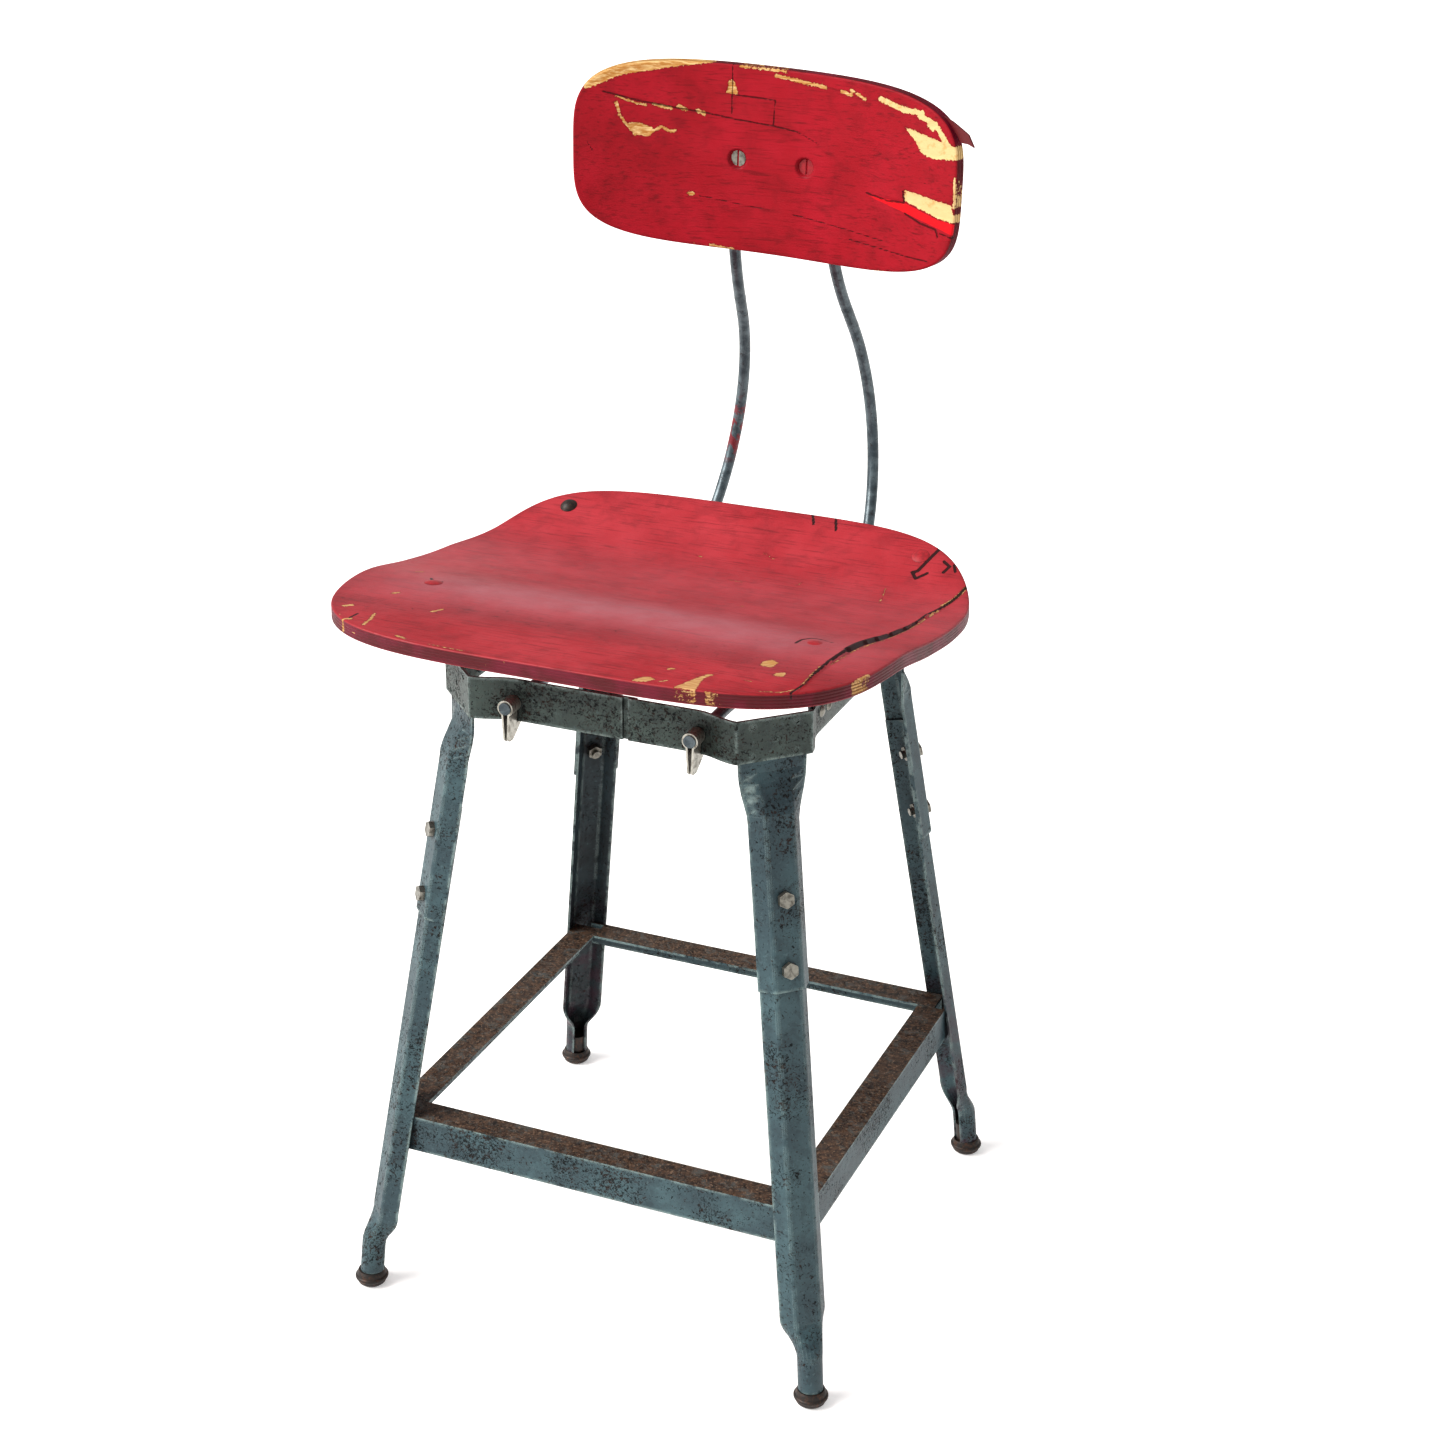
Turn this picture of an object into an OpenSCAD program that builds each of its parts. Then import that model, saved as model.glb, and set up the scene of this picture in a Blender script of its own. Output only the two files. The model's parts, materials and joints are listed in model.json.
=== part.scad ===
// Workshop drafting chair: pressed-steel frame on four telescoping legs,
// moulded plywood saddle seat and a plywood backrest that tilts on a bent rod.
// Millimetres, +Z up, +Y to the back of the chair, origin on the floor
// under the middle of the overall box.

/* [Seat] */
// Overall width of the moulded seat
seat_w = 430; // [400:5:450]
// Overall depth of the moulded seat
seat_d = 381; // [360:1:395]
// Height of the lowest point of the seat's dish above the floor
seat_h = 561; // [558:1:572]
// Thickness of the moulded plywood of the seat
seat_ply = 11.5; // [10:0.5:13]
// How far the middle of the seat lies in front of the middle of the legs
seat_forward = 47; // [40:1:52]

/* [Backrest] */
// Width of the backrest measured round its curve
back_w = 322; // [280:2:340]
// Height of the backrest panel
back_h = 146; // [120:2:160]
// Radius of the backrest's hollow
back_radius = 495; // [400:5:700]
// Thickness of the moulded plywood of the backrest
back_ply = 10; // [9:0.5:11]
// Lean of the backrest's top towards the sitter, in degrees
back_tilt = 3.5; // [0:0.5:5]
// Sideways droop of the backrest on its bent rod, in degrees
back_droop = 2.4; // [0:0.2:3]

/* [Apron] */
// Height of the apron's top edge above the floor
apron_top = 531.5; // [528:0.5:534]
// Height of the apron strip
apron_h = 33; // [30:1:36]
// Thickness of the apron strip
apron_t = 2.2; // [2:0.1:2.4]

/* [Legs] */
// Width of the flat web of an upper leg
leg_web = 22.4; // [21:0.2:24]
// Width of each bent flange of an upper leg
leg_flange = 15.5; // [14:0.5:16]
// Thickness of the leg sheet
leg_t = 1.9; // [1.7:0.1:2]

/* [Stretchers] */
// Height of the top of the stretcher ring above the floor
stretcher_top = 158; // [150:1:170]
// Depth of a stretcher's upright flange
stretcher_h = 31; // [28:1:33]
// Depth of the upright flange of the back stretcher, which is shallower
back_stretcher_h = 20.6; // [18:0.1:24]
// Width of a stretcher's flat top flange
stretcher_w = 24; // [20:1:26]
// Thickness of the stretcher angle
stretcher_t = 2.2; // [2:0.1:2.6]

/* [Rods] */
// Diameter of the backrest rod
rod_d = 9.5; // [9:0.1:10]
// Half of the distance between the two rods under the seat
rod_x = 73.7; // [72:0.1:76]

/* [Hidden] */

$fn = 48;
clear = 0.05;

// The overall box runs from the seat's front edge to the back of the rods,
// so the leg square sits this far forward of the origin.
leg_shift = -12.5;

// Angle of each corner, seen from above
FRONT_RIGHT = -45;
BACK_RIGHT = 45;
BACK_LEFT = 135;
FRONT_LEFT = -135;

enamel = "#4b5c60";
bare_steel = "#5d676d";
plated = "#b9b6a8";
dark_steel = "#33302d";
red_paint = "#b5222f";

// ---- Legs: a line along the web's outer face, leaning out towards the floor ----
foot_reach = 278.6;
leg_lean = 10.58;
leg_bend = 55;
upper_from = 333.7;
upper_to = 459.8;
lower_from = 73;
lower_to = 430;
bolt_at = [350.5, 404.4];
tube_roll = 145;
tube_r = 9.76;
foot_centre = 270.5;
foot_pivot = 5;
foot_lean = 6;
tube_low = 7;
tube_high = 33;
plate_reach = 181.02;
leg_top_z = apron_top - 4;
upper_bolt_clear = 3.3;

// ---- Apron ----
apron_half = 140;
flare_from = 72;
flare_to = 107;
flare_out = 9;
apron_low = apron_top - apron_h;
lap_left = 14;
lap_gap = 4.4;
tongue_l = 34;

// ---- Rods ----
rod_r = rod_d / 2;
rod_z = 513.5;
rod_front = -156;
rod_straight = 326;
rod_splay = 7;
rod_bends = [[45, 36], [148, 87]];
rod_reach = 19;
rod_return = 210;
rod_top = 852;
elbow_r = 10;
bar_z = 876;
bar_r = rod_r + 0.15;
run_clear = 0.06;

// ---- Pivot plate, in the backrest's own frame: front face of the panel at y = 0 ----
plate_t = 2;
knuckle_in = bar_r + run_clear;
knuckle_r = knuckle_in + plate_t;
pivot_y = back_ply + knuckle_r;
pivot_z = 17;
plate_half = 34;
plate_low = -16;
knuckle_half = 20;
screw_x = 28.7;
screw_r = 2.6;

// ---- Seat bolts ----
seat_bolt_x = 152;
seat_bolt_y = 115;
seat_bolt_r = 3.15;
head_gap = 0.3;
// Heights of the seat's top face over its dish, evenly spaced from front to back
seat_rise = [29, 28, 25, 12.5, 3, 0.5, 27];

// ================= helpers =================

module chair() {
    translate([0, leg_shift, 0])
        children();
}

module at_corner(angle) {
    rotate([0, 0, angle])
        children();
}

// Frame on the leg's line: +X outwards, +Z up along the leg
module on_leg(s) {
    translate([foot_reach - s * sin(leg_lean), 0, s * cos(leg_lean)])
        rotate([0, -leg_lean, 0])
            children();
}

function ease(q) = (1 - cos(180 * q)) / 2;

function lerp(a, b, q) = a + (b - a) * q;

// A strip is half of a leg's section from its middle outwards, as pieces of
// [length, share of the bend]: web, two short pieces round the bend, flange.
bend_l = 1.5;

function strip(w, f, web_parts, flange_parts) = concat(
    [for (k = [1:web_parts]) [(w / 2 - bend_l) / web_parts, 0]],
    [[bend_l, 1 / 3], [bend_l, 2 / 3]],
    [for (k = [1:flange_parts]) [(f - bend_l) / flange_parts, 1]]);

function run_to(st, i) = i == 0 ? 0 : run_to(st, i - 1) + st[i - 1][0];

// Heading of a piece: m = 0 is the channel with its flanges bent, m = 1 is
// the same strip rolled into a tube
function turn(st, i, m, bend) =
    (1 - m) * st[i][1] * bend
        + m * tube_roll * (run_to(st, i) + st[i][0] / 2) / run_to(st, len(st));

function outer_pt(st, i, m, bend) =
    i == 0 ? [0, 0]
    : let (a = turn(st, i - 1, m, bend))
        outer_pt(st, i - 1, m, bend) + st[i - 1][0] * [-sin(a), cos(a)];

function inner_pt(st, i, m, bend) =
    let (before = i == 0 ? -turn(st, 0, m, bend) : turn(st, i - 1, m, bend))
    let (after = i == len(st) ? before : turn(st, i, m, bend), mid = (before + after) / 2)
    outer_pt(st, i, m, bend) - leg_t / cos((after - before) / 2) * [cos(mid), sin(mid)];

function flip_y(p) = [p[0], -p[1]];

function strip_loop(st, m, bend) = concat(
    [for (i = [len(st):-1:1]) flip_y(outer_pt(st, i, m, bend))],
    [for (i = [0:len(st)]) outer_pt(st, i, m, bend)],
    [for (i = [len(st):-1:0]) inner_pt(st, i, m, bend)],
    [for (i = [1:len(st)]) flip_y(inner_pt(st, i, m, bend))]);

// A slice is [reach, height, lean, m, bend]
function slice_points(s, st) =
    [for (p = strip_loop(st, s[3], s[4]))
        [s[0] + p[0] * cos(s[2]), p[1], s[1] + p[0] * sin(s[2])]];

module loft(slices, st) {
    n = len(slice_points(slices[0], st));
    last = len(slices) - 1;
    points = [for (s = slices) each slice_points(s, st)];
    sides = [for (k = [0:last - 1]) for (i = [0:n - 1])
        let (a = k * n + i, b = k * n + (i + 1) % n)
        each [[a, a + n, b + n], [a, b + n, b]]];
    bottom = [for (i = [0:n / 2 - 2]) [i, i + 1, n - 2 - i, n - 1 - i]];
    top = [for (i = [0:n / 2 - 2])
        [for (j = [n - 1 - i, n - 2 - i, i + 1, i]) last * n + j]];
    polyhedron(points = points, faces = concat(bottom, sides, top), convexity = 8);
}

// ================= apron =================

// Corner-to-corner run of the apron's outside, for the side facing -Y
function apron_side() = concat(
    [for (k = [0:6])
        [-flare_to + (flare_to - flare_from) * k / 6,
            -apron_half - flare_out * (1 - ease(k / 6))]],
    [for (k = [0:6])
        [flare_from + (flare_to - flare_from) * k / 6, -apron_half - flare_out * ease(k / 6)]]);

function spin(p, a) = [p[0] * cos(a) - p[1] * sin(a), p[0] * sin(a) + p[1] * cos(a)];

function apron_outline() = [for (a = [0, 90, 180, 270]) for (p = apron_side()) spin(p, a)];

function unit(v) = v / norm(v);

function inset_pt(list, i, d) =
    let (n = len(list))
    let (u = unit(list[i] - list[(i + n - 1) % n]), v = unit(list[(i + 1) % n] - list[i]))
    let (m = unit([-u[1] - v[1], u[0] + v[0]]))
    list[i] + m * d / (m[0] * -u[1] + m[1] * u[0]);

function inset(list, d) = [for (i = [0:len(list) - 1]) inset_pt(list, i, d)];

module apron_ring(from, to) {
    outline = apron_outline();
    linear_extrude(height = apron_h)
        difference() {
            polygon(inset(outline, from));
            polygon(inset(outline, to));
        }
}

module apron_band() {
    color(enamel)
        chair() {
            difference() {
                translate([0, 0, apron_low])
                    apron_ring(0, apron_t);
                // gap of the lap joint in the front run
                translate([lap_left, -apron_half - 1, apron_low - 1])
                    cube([lap_gap, apron_t + 2, apron_h + 2]);
                // holes for the two backrest rods, front and back
                for (side = [-1, 1])
                    for (end = [-1, 1])
                        translate([side * rod_x, end * apron_half, rod_z])
                            rotate([90, 0, 0])
                                cylinder(r = rod_r + run_clear, h = 4 * apron_t, center = true);
                for (corner = [0:3])
                    at_corner(FRONT_RIGHT + 90 * corner)
                        weld_dimples();
                for (end = [-1, 1])
                    for (bolt_y = bracket_bolt_y)
                        translate([0, end * bolt_y, rod_z])
                            rotate([0, 90, 0])
                                cylinder(r = 2.6, h = 3 * apron_half, center = true);
            }
            lap_tongue();
        }
}

// The right-hand strip steps in behind the left-hand one and is spot welded to it
module lap_tongue() {
    translate([lap_left + lap_gap + 6 - tongue_l, -apron_half + apron_t, apron_low])
        cube([tongue_l, apron_t, apron_h]);
}

// Five spot-weld marks on a corner plate, like the five of a die
module weld_dimples() {
    for (mark = [[-17, 11], [17, 11], [0, 0], [-17, -12], [17, -12]])
        translate([plate_reach - 0.5, mark[0], apron_low + apron_h / 2 + mark[1]])
            rotate([0, 90, 0])
                cylinder(r = 1.9, h = 3);
}

// ================= legs =================

module upper_leg(angle) {
    mouth = [for (q = [0:1 / 6:1.001])
        [lerp(foot_reach - upper_to * sin(leg_lean), plate_reach - apron_t - clear, ease(q)),
            lerp(upper_to * cos(leg_lean), apron_low - 2, q),
            leg_lean * (1 - ease(q)), 0, leg_flat + (leg_bend - leg_flat) * (1 - ease(q))]];
    tip = [[plate_reach - apron_t - clear, leg_top_z, 0, 0, leg_flat]];
    color(enamel)
        chair()
            at_corner(angle)
                union() {
                    difference() {
                        on_leg(upper_from)
                            linear_extrude(height = upper_to - upper_from + clear)
                                polygon(strip_loop(upper_strip, 0, leg_bend));
                        leg_bolt_holes();
                    }
                    loft(concat(mouth, tip), upper_strip);
                }
}

lower_web = leg_web - 2 * (leg_t + clear) * tan(leg_bend / 2);
lower_flange = leg_flange - 1;
upper_strip = strip(leg_web, leg_flange, 1, 1);
lower_strip = strip(lower_web, lower_flange, 3, 5);
leg_flat = 3;

module lower_leg(angle) {
    reach = foot_reach - leg_t - clear;
    tube_face = foot_centre - tube_high * sin(foot_lean) + tube_r * cos(foot_lean);
    tube_z = foot_pivot + tube_high * cos(foot_lean) + tube_r * sin(foot_lean);
    rolled = [for (k = [7:-1:0])
        let (q = k / 7)
        [lerp(reach - lower_from * sin(leg_lean), tube_face, ease(q)),
            lerp(lower_from * cos(leg_lean), tube_z, q),
            lerp(leg_lean, foot_lean, ease(q)), ease(q), leg_bend]];
    color(enamel)
        chair()
            at_corner(angle)
                union() {
                    difference() {
                        translate([-leg_t - clear, 0, 0])
                            on_leg(lower_from)
                                linear_extrude(height = lower_to - lower_from)
                                    polygon(strip_loop(lower_strip, 0, leg_bend));
                        leg_bolt_holes();
                    }
                    loft(rolled, lower_strip);
                    foot_tube();
                }
}

// Frame on the foot's axis, which leans a little less than the leg
module on_foot(height) {
    translate([foot_centre, 0, foot_pivot])
        rotate([0, -foot_lean, 0])
            translate([0, 0, height])
                children();
}

// The rolled foot: an open tube with its seam towards the middle of the chair
module foot_tube() {
    on_foot(tube_low + clear)
        rotate([0, 0, -tube_roll])
            rotate_extrude(angle = 2 * tube_roll)
                translate([tube_r - leg_t, 0])
                    square([leg_t, tube_high - tube_low + 1]);
}

module leg_bolt_holes() {
    for (s = bolt_at)
        on_leg(s)
            rotate([0, 90, 0])
                cylinder(r = upper_bolt_clear, h = 30, center = true);
}

// ================= glides =================

// Domed steel glide with a rolled rim and a plug that grips inside the leg
module glide(angle) {
    color(dark_steel)
        chair()
            at_corner(angle)
                union() {
                    difference() {
                        translate([foot_centre, 0, 0])
                            rotate_extrude()
                                union() {
                                    polygon([[0, 0], [7, 0], [9.4, 0.6], [11.2, 2.2], [12, 4],
                                        [12, 9], [11.2, 11.6], [10.4, 13.2], [0, 13.2]]);
                                    translate([11.3, 7])
                                        circle(r = 2.1);
                                }
                        on_foot(tube_low)
                            cylinder(r = tube_r + 0.1, h = 20);
                    }
                    on_foot(tube_low - 1)
                        cylinder(r = tube_r - leg_t - 0.1, h = 19);
                }
}

// ================= stretchers =================

ring_half = 177.5;
ring_full = 168;
ring_butt = 166;

// Angle bar along X at the -Y side; its left end is full, its right end is
// notched to butt against the next bar of the ring.
module stretcher(angle, depth = stretcher_h) {
    notch_x = ring_half - stretcher_w - 0.4;
    color(enamel)
        chair()
            rotate([0, 0, angle])
                translate([0, -ring_half, stretcher_top - depth]) {
                    translate([-ring_full, 0, 0])
                        cube([ring_full + ring_butt, stretcher_t, depth]);
                    translate([-ring_full, 0, depth - stretcher_t])
                        cube([ring_full + notch_x, stretcher_w, stretcher_t]);
                }
}

// ================= fasteners of the legs =================

hex_af = 11.1;
hex_r = hex_af / 2 / cos(30);

module hex(height) {
    cylinder(r = hex_r, h = height, $fn = 6);
}

module for_each_leg_bolt() {
    for (corner = [0:3])
        at_corner(FRONT_RIGHT + 90 * corner)
            for (s = bolt_at)
                on_leg(s)
                    rotate([0, 90, 0])
                        children();
}

// Hex-head bolts through both leg channels, heads outside
module leg_bolts() {
    shank = 3.15;
    color(plated)
        chair()
            for_each_leg_bolt() {
                intersection() {
                    translate([0, 0, clear])
                        hex(4.2);
                    translate([0, 0, -6])
                        sphere(r = 11.9);
                }
                translate([0, 0, -13])
                    cylinder(r = shank, h = 14);
            }
}

module leg_nuts() {
    color(plated)
        chair()
            for_each_leg_bolt()
                translate([0, 0, -2 * leg_t - 3 * clear - 5.5])
                    difference() {
                        hex(5.5);
                        translate([0, 0, -1])
                            cylinder(r = 3.2, h = 8);
                    }
}

// ================= seat =================

seat_half = seat_d / 2;
seat_mid_y = -seat_forward;
rise_steps = len(seat_rise) - 1;

function rise_at(i) = seat_rise[max(0, min(rise_steps, i))];

// Smooth curve through the heights, u from 0 at the front to 6 at the back
function rise(u) =
    let (i = min(rise_steps - 1, max(0, floor(u))), t = u - i)
    let (a = rise_at(i - 1), b = rise_at(i), c = rise_at(i + 1), d = rise_at(i + 2))
    b + (c - a) / 2 * t + (a - 2.5 * b + 2 * c - d / 2) * t * t
        + (1.5 * b - a / 2 - 1.5 * c + d / 2) * t * t * t;

function seat_u(y) = (y - seat_mid_y + seat_half) / seat_d * rise_steps;

function seat_top(y) = seat_h + rise(seat_u(y));

function seat_slope(y) = (seat_top(y + 0.5) - seat_top(y - 0.5));

// Point at a depth below the seat's top face, square to it
function seat_below(y, depth) =
    let (s = seat_slope(y), n = norm([1, s]))
    [y + depth * s / n, seat_top(y) - depth / n];

seat_cuts = 40;

function seat_ys() = [for (k = [0:seat_cuts]) seat_mid_y - seat_half + seat_d * k / seat_cuts];

function seat_profile() = concat(
    [for (y = seat_ys()) seat_below(y, seat_ply)],
    [for (k = [seat_cuts:-1:0]) let (y = seat_ys()[k]) [y, seat_top(y)]]);

function rounded(a, b, power, parts) =
    [for (k = [0:parts - 1])
        let (t = 360 * k / parts)
        [a * sign(cos(t)) * pow(abs(cos(t)), 2 / power),
            b * sign(sin(t)) * pow(abs(sin(t)), 2 / power)]];

module seat_panel() {
    color(red_paint)
        chair()
            difference() {
                intersection() {
                    rotate([90, 0, 90])
                        linear_extrude(height = seat_w, center = true)
                            polygon(seat_profile());
                    translate([0, seat_mid_y, seat_h - 40])
                        linear_extrude(height = 100)
                            polygon(rounded(seat_w / 2, seat_half, 4, 96));
                }
                for_each_seat_bolt()
                    translate([0, 0, -40])
                        cylinder(r = seat_bolt_r + 0.1, h = 80);
            }
}

// Frame on the seat's top face at each seat bolt, +Z along the bolt
module for_each_seat_bolt() {
    for (x = [-seat_bolt_x, seat_bolt_x])
        for (y = [-seat_bolt_y, seat_bolt_y])
            seat_bolt_frame(x, y)
                children();
}

module seat_bolt_frame(x, y) {
    translate([x, y, seat_top(y)])
        rotate([atan(seat_slope(y)), 0, 0])
            children();
}

// Round-headed bolts through the seat and its brackets; the back left one
// stands proud and the others are drawn down into the face
module seat_bolts() {
    color(dark_steel)
        chair()
            for (x = [-seat_bolt_x, seat_bolt_x])
                for (y = [-seat_bolt_y, seat_bolt_y])
                    seat_bolt_frame(x, y) {
                        round_head(7, x < 0 && y > 0 ? 3.6 : 1.3);
                        translate([0, 0, -seat_ply - 12])
                            cylinder(r = seat_bolt_r, h = seat_ply + 12.6);
                    }
}

module round_head(head_r, head_h) {
    ball_r = (head_r * head_r + head_h * head_h) / 2 / head_h;
    intersection() {
        translate([0, 0, head_gap])
            cylinder(r = head_r, h = head_h);
        translate([0, 0, head_gap + head_h - ball_r])
            sphere(r = ball_r, $fn = 96);
    }
}

module seat_nuts() {
    color(plated)
        chair()
            for_each_seat_bolt()
                translate([0, 0, -seat_ply - bracket_t - clear - head_gap - 5.5])
                    difference() {
                        hex(5.5);
                        translate([0, 0, -1])
                            cylinder(r = 3.2, h = 8);
                    }
}

// ================= seat brackets =================

bracket_t = 2.5;
bracket_x = apron_half - apron_t - bracket_t - clear;
bracket_out = 166;
bracket_low = apron_low + 4;
bracket_bolt_y = [51, 65];
// Nearest and farthest of the upright leaf, and of the leaf under the seat
upright_y = [44, 104];
leaf_y = [60, 129];

// Pressed angle: an upright leaf inside the side run of the apron, and a
// leaf that follows the seat's underside and takes one seat bolt
module seat_bracket(side, end) {
    color(enamel)
        chair()
            difference() {
                union() {
                    across(side, bracket_x, bracket_x + bracket_t)
                        polygon(upright_shape(end));
                    across(side, bracket_x, bracket_out)
                        polygon(leaf_shape(end));
                }
                seat_bolt_frame(side * seat_bolt_x, end * seat_bolt_y)
                    translate([0, 0, -40])
                        cylinder(r = seat_bolt_r + 0.1, h = 60);
                for (bolt_y = bracket_bolt_y)
                    translate([side * apron_half, end * bolt_y, rod_z])
                        rotate([0, 90, 0])
                            cylinder(r = 2.6, h = 30, center = true);
            }
}

// Extrudes a shape drawn in Y and Z between two distances from the middle
module across(side, from, to) {
    translate([side > 0 ? from : -to, 0, 0])
        rotate([90, 0, 90])
            linear_extrude(height = to - from)
                children();
}

// The seat's own stations that fall within a stretch of one end
function stations(end, span) =
    [for (y = seat_ys()) if (end * y >= span[0] && end * y <= span[1]) y];

function leaf_shape(end) = concat(
    [for (y = stations(end, leaf_y)) seat_below(y, seat_ply + bracket_t + clear)],
    [let (list = stations(end, leaf_y)) for (k = [len(list) - 1:-1:0])
        seat_below(list[k], seat_ply + clear)]);

// The upright's foot is square on the apron and tapers off towards the seat bolt
function upright_shape(end) =
    let (list = stations(end, upright_y), far = end * upright_y[1], near = end * upright_y[0])
    let (top = [for (y = list) seat_below(y, seat_ply + clear + 0.6)])
    let (foot = [[end * 76, bracket_low], [near, bracket_low]])
    end > 0 ? concat(foot, top) : concat([foot[1], foot[0]], top);

// Round-headed bolts that hold the brackets to the side runs of the apron
module bracket_bolts() {
    shank = 2.5;
    color(plated)
        chair() {
            for (side = [0, 180])
                rotate([0, 0, side])
                    for (end = [-1, 1])
                        for (bolt_y = bracket_bolt_y)
                            translate([apron_half, end * bolt_y, rod_z])
                                rotate([0, 90, 0]) {
                                    intersection() {
                                        translate([0, 0, clear])
                                            cylinder(r = 4.6, h = 2.2);
                                        translate([0, 0, -4.2])
                                            sphere(r = 6.4);
                                    }
                                    translate([0, 0, -apron_t - bracket_t - 2])
                                        cylinder(r = shank, h = apron_t + bracket_t + 2.5);
                                    translate([0, 0, -apron_t - bracket_t - 2.2])
                                        cylinder(r = 4, h = 2);
                                }
        }
}

// ================= rod clips =================

clip_t = 1.4;
clip_front = -155;
clip_back = -141.6;
clip_ring_r = rod_r + run_clear + 0.02;

// Spring clip: a loop round the rod's end whose two pinched tails hook
// behind the apron's lower edge
module clip(side) {
    tail = [[clip_back, -4.65], [clip_back - 0.4, -13.6], [-141, -15.6], [-137.4, -15.6],
        [-136.8, -11.8], [-134.2, -14.4], [-131.6, -12], [-131.2, -14.6], [-147, -27],
        [-152.6, -27], [clip_front, -24.6], [clip_front, -4.65]];
    color(plated)
        chair()
            translate([side * rod_x, 0, rod_z]) {
                translate([0, clip_back, 0])
                    rotate([90, 0, 0])
                        rotate([0, 0, -60])
                            rotate_extrude(angle = 300)
                                translate([clip_ring_r, 0])
                                    square([clip_t, clip_back - clip_front]);
                for (half = [-1, 1])
                    translate([half * 2.5, 0, -4.65])
                        rotate([0, half * 3, 0])
                            translate([-clip_t / 2, 0, 4.65])
                                rotate([90, 0, 90])
                                    linear_extrude(height = clip_t)
                                        polygon(tail);
            }
}

// ================= backrest rod =================

// A rod is drawn from its start p along d: ["go", length] runs straight,
// ["turn", radius, d2] bends round to the heading d2.
function unit3(v) = v / norm(v);

function angle_between(a, b) = 2 * atan2(norm(a - b), norm(a + b));

function after(p, d, piece) =
    piece[0] == "go" ? p + piece[1] * d
    : p + piece[1] * tan(angle_between(d, piece[2]) / 2) * (d + piece[2]);

function heading(d, piece) = piece[0] == "go" ? d : piece[2];

// Puts local +Z along d and local +X towards the inside of the bend to d2
module aim(p, d, d2) {
    x = unit3(d2 - (d2 * d) * d);
    y = cross(d, x);
    multmatrix([[x[0], y[0], d[0], p[0]],
            [x[1], y[1], d[1], p[1]],
            [x[2], y[2], d[2], p[2]]])
        children();
}

// A hairline sleeve covers each join, so that neighbours meet as one solid
module bent_rod(p, d, run, i = 0) {
    if (i < len(run)) {
        piece = run[i];
        if (i > 0)
            aim(p, d, unit3([1, 2, 3]))
                cylinder(r = rod_r + 0.1, h = 1.2, center = true);
        if (piece[0] == "go") {
            aim(p, d, unit3([1, 2, 3]))
                cylinder(r = rod_r, h = piece[1]);
        } else {
            aim(p, d, piece[2])
                translate([piece[1], 0, 0])
                    mirror([1, 0, 0])
                        rotate([90, 0, 0])
                            rotate_extrude(angle = angle_between(d, piece[2]))
                                translate([piece[1], 0])
                                    circle(r = rod_r);
        }
        bent_rod(after(p, d, piece), heading(d, piece), run, i + 1);
    }
}

// Headings of the right-hand rod: level, part way up, past upright, upright
rod_back = [0, 1, 0];
rod_rising = lean_in(rod_bends[0][1]);
rod_leaning = lean_in(rod_bends[0][1] + rod_bends[1][1]);
rod_upright = [0, 0, 1];

function lean_in(a) = [-sin(a) * sin(rod_splay), cos(a), sin(a) * cos(rod_splay)];

function chain(p, d, run, n) =
    n == 0 ? [p, d]
    : let (before = chain(p, d, run, n - 1))
        [after(before[0], before[1], run[n - 1]), heading(before[1], run[n - 1])];

rod_start = [rod_x, rod_front, rod_z];
rod_rise = [["go", rod_straight], ["turn", rod_bends[0][0], rod_rising],
    ["turn", rod_bends[1][0], rod_leaning], ["go", rod_reach],
    ["turn", rod_return, rod_upright]];
rod_end = chain(rod_start, rod_back, rod_rise, 5)[0];
bar_y = rod_end[1];

// The tail of each side runs up to the elbow, which turns in to the sloping bar
module rod_side(side) {
    inward = [-side * cos(back_droop), 0, side * sin(back_droop)];
    elbow = elbow_r * tan(angle_between(rod_upright, inward) / 2);
    corner_z = bar_z - side * rod_end[0] * tan(back_droop);
    tail = [["go", corner_z - elbow - rod_end[2]], ["turn", elbow_r, inward], ["go", 3]];
    run = concat([for (piece = rod_rise)
        piece[0] == "go" ? piece : ["turn", piece[1], flip_x(piece[2], side)]], tail);
    bent_rod(flip_x(rod_start, side), rod_back, run);
}

function flip_x(v, side) = [side * v[0], v[1], v[2]];

module rod_frame() {
    color(bare_steel)
        chair() {
            rod_side(-1);
            rod_side(1);
            translate([0, bar_y, bar_z])
                rotate([0, 90 + back_droop, 0])
                    cylinder(r = bar_r, h = 2 * (rod_end[0] - elbow_r - 1), center = true);
        }
}

// ================= backrest =================

// Frame of the backrest: origin on the panel's front face, turned about the bar
module backrest_frame() {
    chair()
        translate([0, bar_y, bar_z])
            rotate([0, back_droop, 0])
                rotate([back_tilt, 0, 0])
                    translate([0, -pivot_y, -pivot_z])
                        children();
}

module curved_shell(from, to, height) {
    translate([0, -back_radius, -height / 2])
        difference() {
            cylinder(r = back_radius + to, h = height, $fn = 96);
            translate([0, 0, -1])
                cylinder(r = back_radius + from, h = height + 2, $fn = 96);
        }
}

module backrest_panel() {
    sweep = back_w / 2 / back_radius * 180 / PI;
    half_chord = (back_radius + back_ply) * sin(sweep);
    color(red_paint)
        backrest_frame()
            difference() {
                intersection() {
                    curved_shell(0, back_ply, back_h + 2);
                    rotate([90, 0, 0])
                        linear_extrude(height = 160, center = true)
                            polygon(rounded(half_chord, back_h / 2, 4, 96));
                }
                for (x = [-screw_x, screw_x])
                    translate([x, 0, 0])
                        rotate([90, 0, 0]) {
                            cylinder(r = screw_r + 0.2, h = 60, center = true);
                            translate([0, 0, -3.2])
                                cylinder(r = 6.4, h = 20);
                            translate([0, 0, -6.3])
                                cylinder(r1 = screw_r + 0.2, r2 = 6.4, h = 3.15);
                        }
            }
}

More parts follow.
